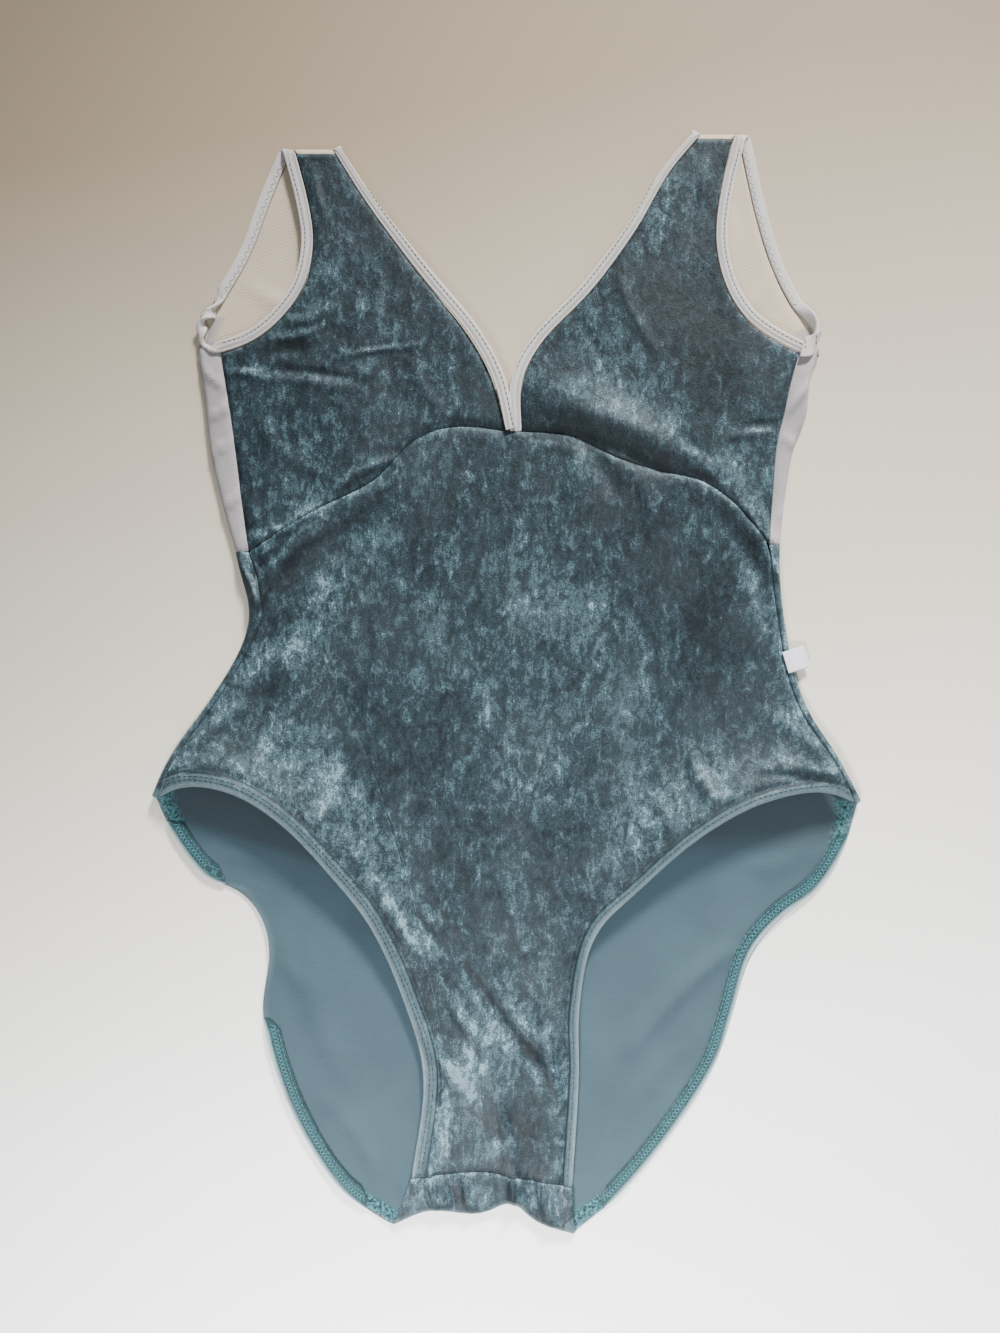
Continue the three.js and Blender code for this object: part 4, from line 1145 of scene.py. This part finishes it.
def one_stitch(radius):
    """A stitch of unit length along Z, thin and rounded at both ends."""
    bm = bmesh.new()
    bmesh.ops.create_uvsphere(bm, u_segments=6, v_segments=4, radius=1)
    bmesh.ops.scale(bm, verts=bm.verts, vec=(radius, radius, 0.5))
    for face in bm.faces:
        face.smooth = True
    return mesh_from("stitch", bm)


def stitched(name, spans, thread_material, radius):
    """One mesh of stitches, each between two points."""
    template = one_stitch(radius)
    bm = bmesh.new()
    for start, end in spans:
        run = end - start
        turn = run.to_track_quat("Z", "Y").to_matrix().to_4x4()
        stitch = template.copy()
        stitch.transform(
            Matrix.Translation((start + end) / 2) @ turn @ Matrix.Diagonal((1, 1, run.length, 1))
        )
        bm.from_mesh(stitch)
        bpy.data.meshes.remove(stitch)
    mesh = mesh_from(name, bm)
    bpy.data.meshes.remove(template)
    mesh.materials.append(thread_material)
    piece = added(name, mesh)
    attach(piece, "root")
    return piece


def row_spans(row, sizes):
    """Ends of each stitch of a row, laid on the piece it is sewn to."""
    path = smooth_path(row.path, STITCH_SPACING)
    path = path + right_of(path) * row.offset * MM
    side = right_of(path)
    tree = surfaces[row.on]
    zigzag = row.half_width > 0
    pitch = ZIGZAG_PITCH if zigzag else sizes.stitch_pitch
    shown = pitch if zigzag else sizes.stitch_length
    first = int(len(path) * row.start)
    last = int(len(path) * row.stop) - 1
    step = pitch / STITCH_SPACING
    spans = []
    for k in range(int((last - first) / step)):
        a = first + int(k * step)
        b = min(a + int(shown / STITCH_SPACING), last)
        swing = row.half_width * MM * (1 if (k + row.phase) % 2 else -1)
        start = dropped(tree, *(path[a] + side[a] * swing))
        end = dropped(tree, *(path[b] - side[b] * swing))
        if start and end:
            spans.append((start, end))
    return spans


# Operators

FLOOR_CELLS = 8
CAMERA_OVER = (-3.7 * MM, 8.3 * MM)
# With its sensor as wide as its lens is long, the camera sees as much table as it stands high
SENSOR = 36
LENS = 36
SKY = (0.86, 0.9, 0.95, 1)
SKY_STRENGTH = 0.3
# Square lamps: place, side, spread in degrees, power in watts and the Y of the point they aim at
Lamp = namedtuple("Lamp", "name x y z size spread power aim_y tone")
LAMPS = rows_of(Lamp, [
    ("key_light", 0.6, 1.9, 1.15, 0.4, 45, 13, -0.7, (1, 0.98, 0.95)),
    ("low_light", -0.3, -1.1, 1.1, 0.6, 60, 13, -0.7, (0.97, 0.98, 1)),
    ("side_light", 1.3, -0.35, 0.8, 0.7, 180, 5, 0, (0.95, 0.98, 1)),
])


class Group:
    """What the operators share: each builds with the scene's sizes and colours."""

    def execute(self, context):
        self.build(context.scene.leotard_sizes, context.scene.leotard_colours)
        return {"FINISHED"}


class LEOTARD_OT_stage(Group, bpy.types.Operator):
    """A pale table, soft studio light and a camera straight above"""

    bl_idname = "leotard.stage"
    bl_label = "Stage"

    def build(self, sizes, tones):
        bm = bmesh.new()
        half = sizes.floor_size / 2
        bmesh.ops.create_grid(bm, x_segments=FLOOR_CELLS, y_segments=FLOOR_CELLS, size=half)
        mesh = mesh_from("floor", bm)
        mesh.materials.append(material(pale_table, tones))
        added("floor", mesh)

        camera = bpy.data.cameras.new("camera")
        camera.sensor_fit = "AUTO"
        camera.sensor_width = SENSOR
        camera.lens = LENS
        above = added("camera", camera)
        above.location = (*CAMERA_OVER, sizes.camera_height)
        bpy.context.scene.camera = above

        for row in LAMPS:
            lamp = bpy.data.lights.new(row.name, "AREA")
            lamp.size = row.size
            lamp.energy = row.power
            lamp.spread = math.radians(row.spread)
            lamp.color = row.tone
            holder = added(row.name, lamp)
            holder.location = (row.x, row.y, row.z)
            aim = Vector((0, row.aim_y, 0)) - holder.location
            holder.rotation_euler = aim.to_track_quat("-Z", "Y").to_euler()
        world = bpy.data.worlds.new("studio")
        world.use_nodes = True
        background = world.node_tree.nodes["Background"]
        background.inputs["Color"].default_value = SKY
        background.inputs["Strength"].default_value = SKY_STRENGTH
        bpy.context.scene.world = world


class LEOTARD_OT_back(Group, bpy.types.Operator):
    """The velvet lower back and the light yoke above it"""

    bl_idname = "leotard.back"
    bl_label = "Back panels"

    def build(self, sizes, tones):
        skins = [material(crushed_velvet, tones), material(plain_knit, tones)]
        knit = material(light_knit, tones)
        seat = Vector((0, -0.1))
        nape = Vector((0, 0.12))
        laid_cloth("back_lower", skins, sizes, (seat, 1), False, bands=BACK_BANDS)
        laid_cloth(
            "back_yoke", [knit, knit], sizes, (nape, 1), False,
            bands=YOKE_BANDS, crush=0.5, shaped=tuck_under_bindings,
        )


class LEOTARD_OT_front(Group, bpy.types.Operator):
    """The two cups and the body of the front"""

    bl_idname = "leotard.front"
    bl_label = "Front panels"

    def build(self, sizes, tones):
        skins = [material(crushed_velvet, tones), material(plain_knit, tones)]
        belly = Vector((0, 0))
        left = Vector((-0.09, 0.17))
        right = Vector((0.09, 0.17))
        laid_cloth("cup_left", skins, sizes, (left, -1))
        laid_cloth("cup_right", skins, sizes, (right, -1))
        laid_cloth(
            "front_body", skins, sizes, (belly, -1),
            channels=FRONT_HEM_CHANNELS, bands=FRONT_BANDS,
        )


class LEOTARD_OT_bindings(Group, bpy.types.Operator):
    """White bindings of the neckline and the armholes"""

    bl_idname = "leotard.bindings"
    bl_label = "Bindings"

    def build(self, sizes, tones):
        tape = [material(white_binding, tones)]
        trim("neck_binding", tape, sizes, BINDING_CHANNELS, narrow_at_shoulders)
        trim(ARM_LEFT, tape, sizes, BINDING_CHANNELS, twisted)
        trim(ARM_RIGHT, tape, sizes, BINDING_CHANNELS)
        trim("binding_join_right", tape, sizes)


class LEOTARD_OT_hems(Group, bpy.types.Operator):
    """Turned hems of the four leg edges"""

    bl_idname = "leotard.hems"
    bl_label = "Leg hems"

    def build(self, sizes, tones):
        pile = [material(turned_hem, tones)]
        for name, path, side in BACK_HEMS:
            trim(name, pile, sizes, shaped=taper_ends(path, side), outer=path)
        trim("hem_front_left", pile, sizes, outer=LEG_FRONT_LEFT)
        trim("hem_front_right", pile, sizes, outer=LEG_FRONT_RIGHT)


class LEOTARD_OT_label(Group, bpy.types.Operator):
    """The plain folded label in the side seam"""

    bl_idname = "leotard.label"
    bl_label = "Side label"

    def build(self, sizes, tones):
        trim("side_label", [material(satin_tape, tones)], sizes)


# The stitches sewn to each piece
sewn_to = {}


class LEOTARD_OT_stitching(Group, bpy.types.Operator):
    """Rows of stitches on the bindings and hems, and the square at the underarm"""

    bl_idname = "leotard.stitching"
    bl_label = "Stitching"

    def build(self, sizes, tones):
        slots = {
            "white_thread": "binding", "loop_thread": "binding",
            "teal_thread": "hem", "aqua_thread": "hem",
        }
        threads = {key: sewing_thread(key, getattr(tones, key)) for key in slots}
        for row in ROWS:
            spans = row_spans(row, sizes)
            if not spans:
                raise RuntimeError(f"{row.name} finds no cloth under it")
            piece = stitched(row.name, spans, threads[row.thread], sizes.thread / 2)
            sewn_to.setdefault(row.on, []).append(piece)


class LEOTARD_OT_cuts(Group, bpy.types.Operator):
    """Stands for the flat cuts of the cloth pieces, but builds nothing"""

    bl_idname = "leotard.cuts"
    bl_label = "Flat cuts"

    def build(self, sizes, tones):
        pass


OPERATORS = (
    LEOTARD_OT_stage,
    LEOTARD_OT_back,
    LEOTARD_OT_front,
    LEOTARD_OT_bindings,
    LEOTARD_OT_hems,
    LEOTARD_OT_label,
    LEOTARD_OT_stitching,
    LEOTARD_OT_cuts,
)


class LEOTARD_PT_panel(bpy.types.Panel):
    """Sizes and colours, and a button for each group of pieces"""

    bl_label = "Leotard"
    bl_idname = "LEOTARD_PT_panel"
    bl_space_type = "VIEW_3D"
    bl_region_type = "UI"
    bl_category = "Leotard"

    def draw(self, context):
        for group in (context.scene.leotard_sizes, context.scene.leotard_colours):
            column = self.layout.column(align=True)
            for key in group.__annotations__:
                column.prop(group, key)
        for operator in OPERATORS:
            self.layout.operator(operator.bl_idname)


CLASSES = (LeotardColours, LeotardSizes, *OPERATORS, LEOTARD_PT_panel)


def register():
    for cls in CLASSES:
        bpy.utils.register_class(cls)
    bpy.types.Scene.leotard_colours = PointerProperty(type=LeotardColours)
    bpy.types.Scene.leotard_sizes = PointerProperty(type=LeotardSizes)


def unregister():
    del bpy.types.Scene.leotard_sizes
    del bpy.types.Scene.leotard_colours
    for cls in reversed(CLASSES):
        bpy.utils.unregister_class(cls)


def main():
    register()
    bpy.ops.leotard.stage()
    bpy.ops.leotard.back()
    bpy.ops.leotard.front()
    bpy.ops.leotard.bindings()
    bpy.ops.leotard.hems()
    bpy.ops.leotard.label()
    bpy.ops.leotard.stitching()
    bpy.ops.leotard.cuts()


if __name__ == "__main__":
    main()
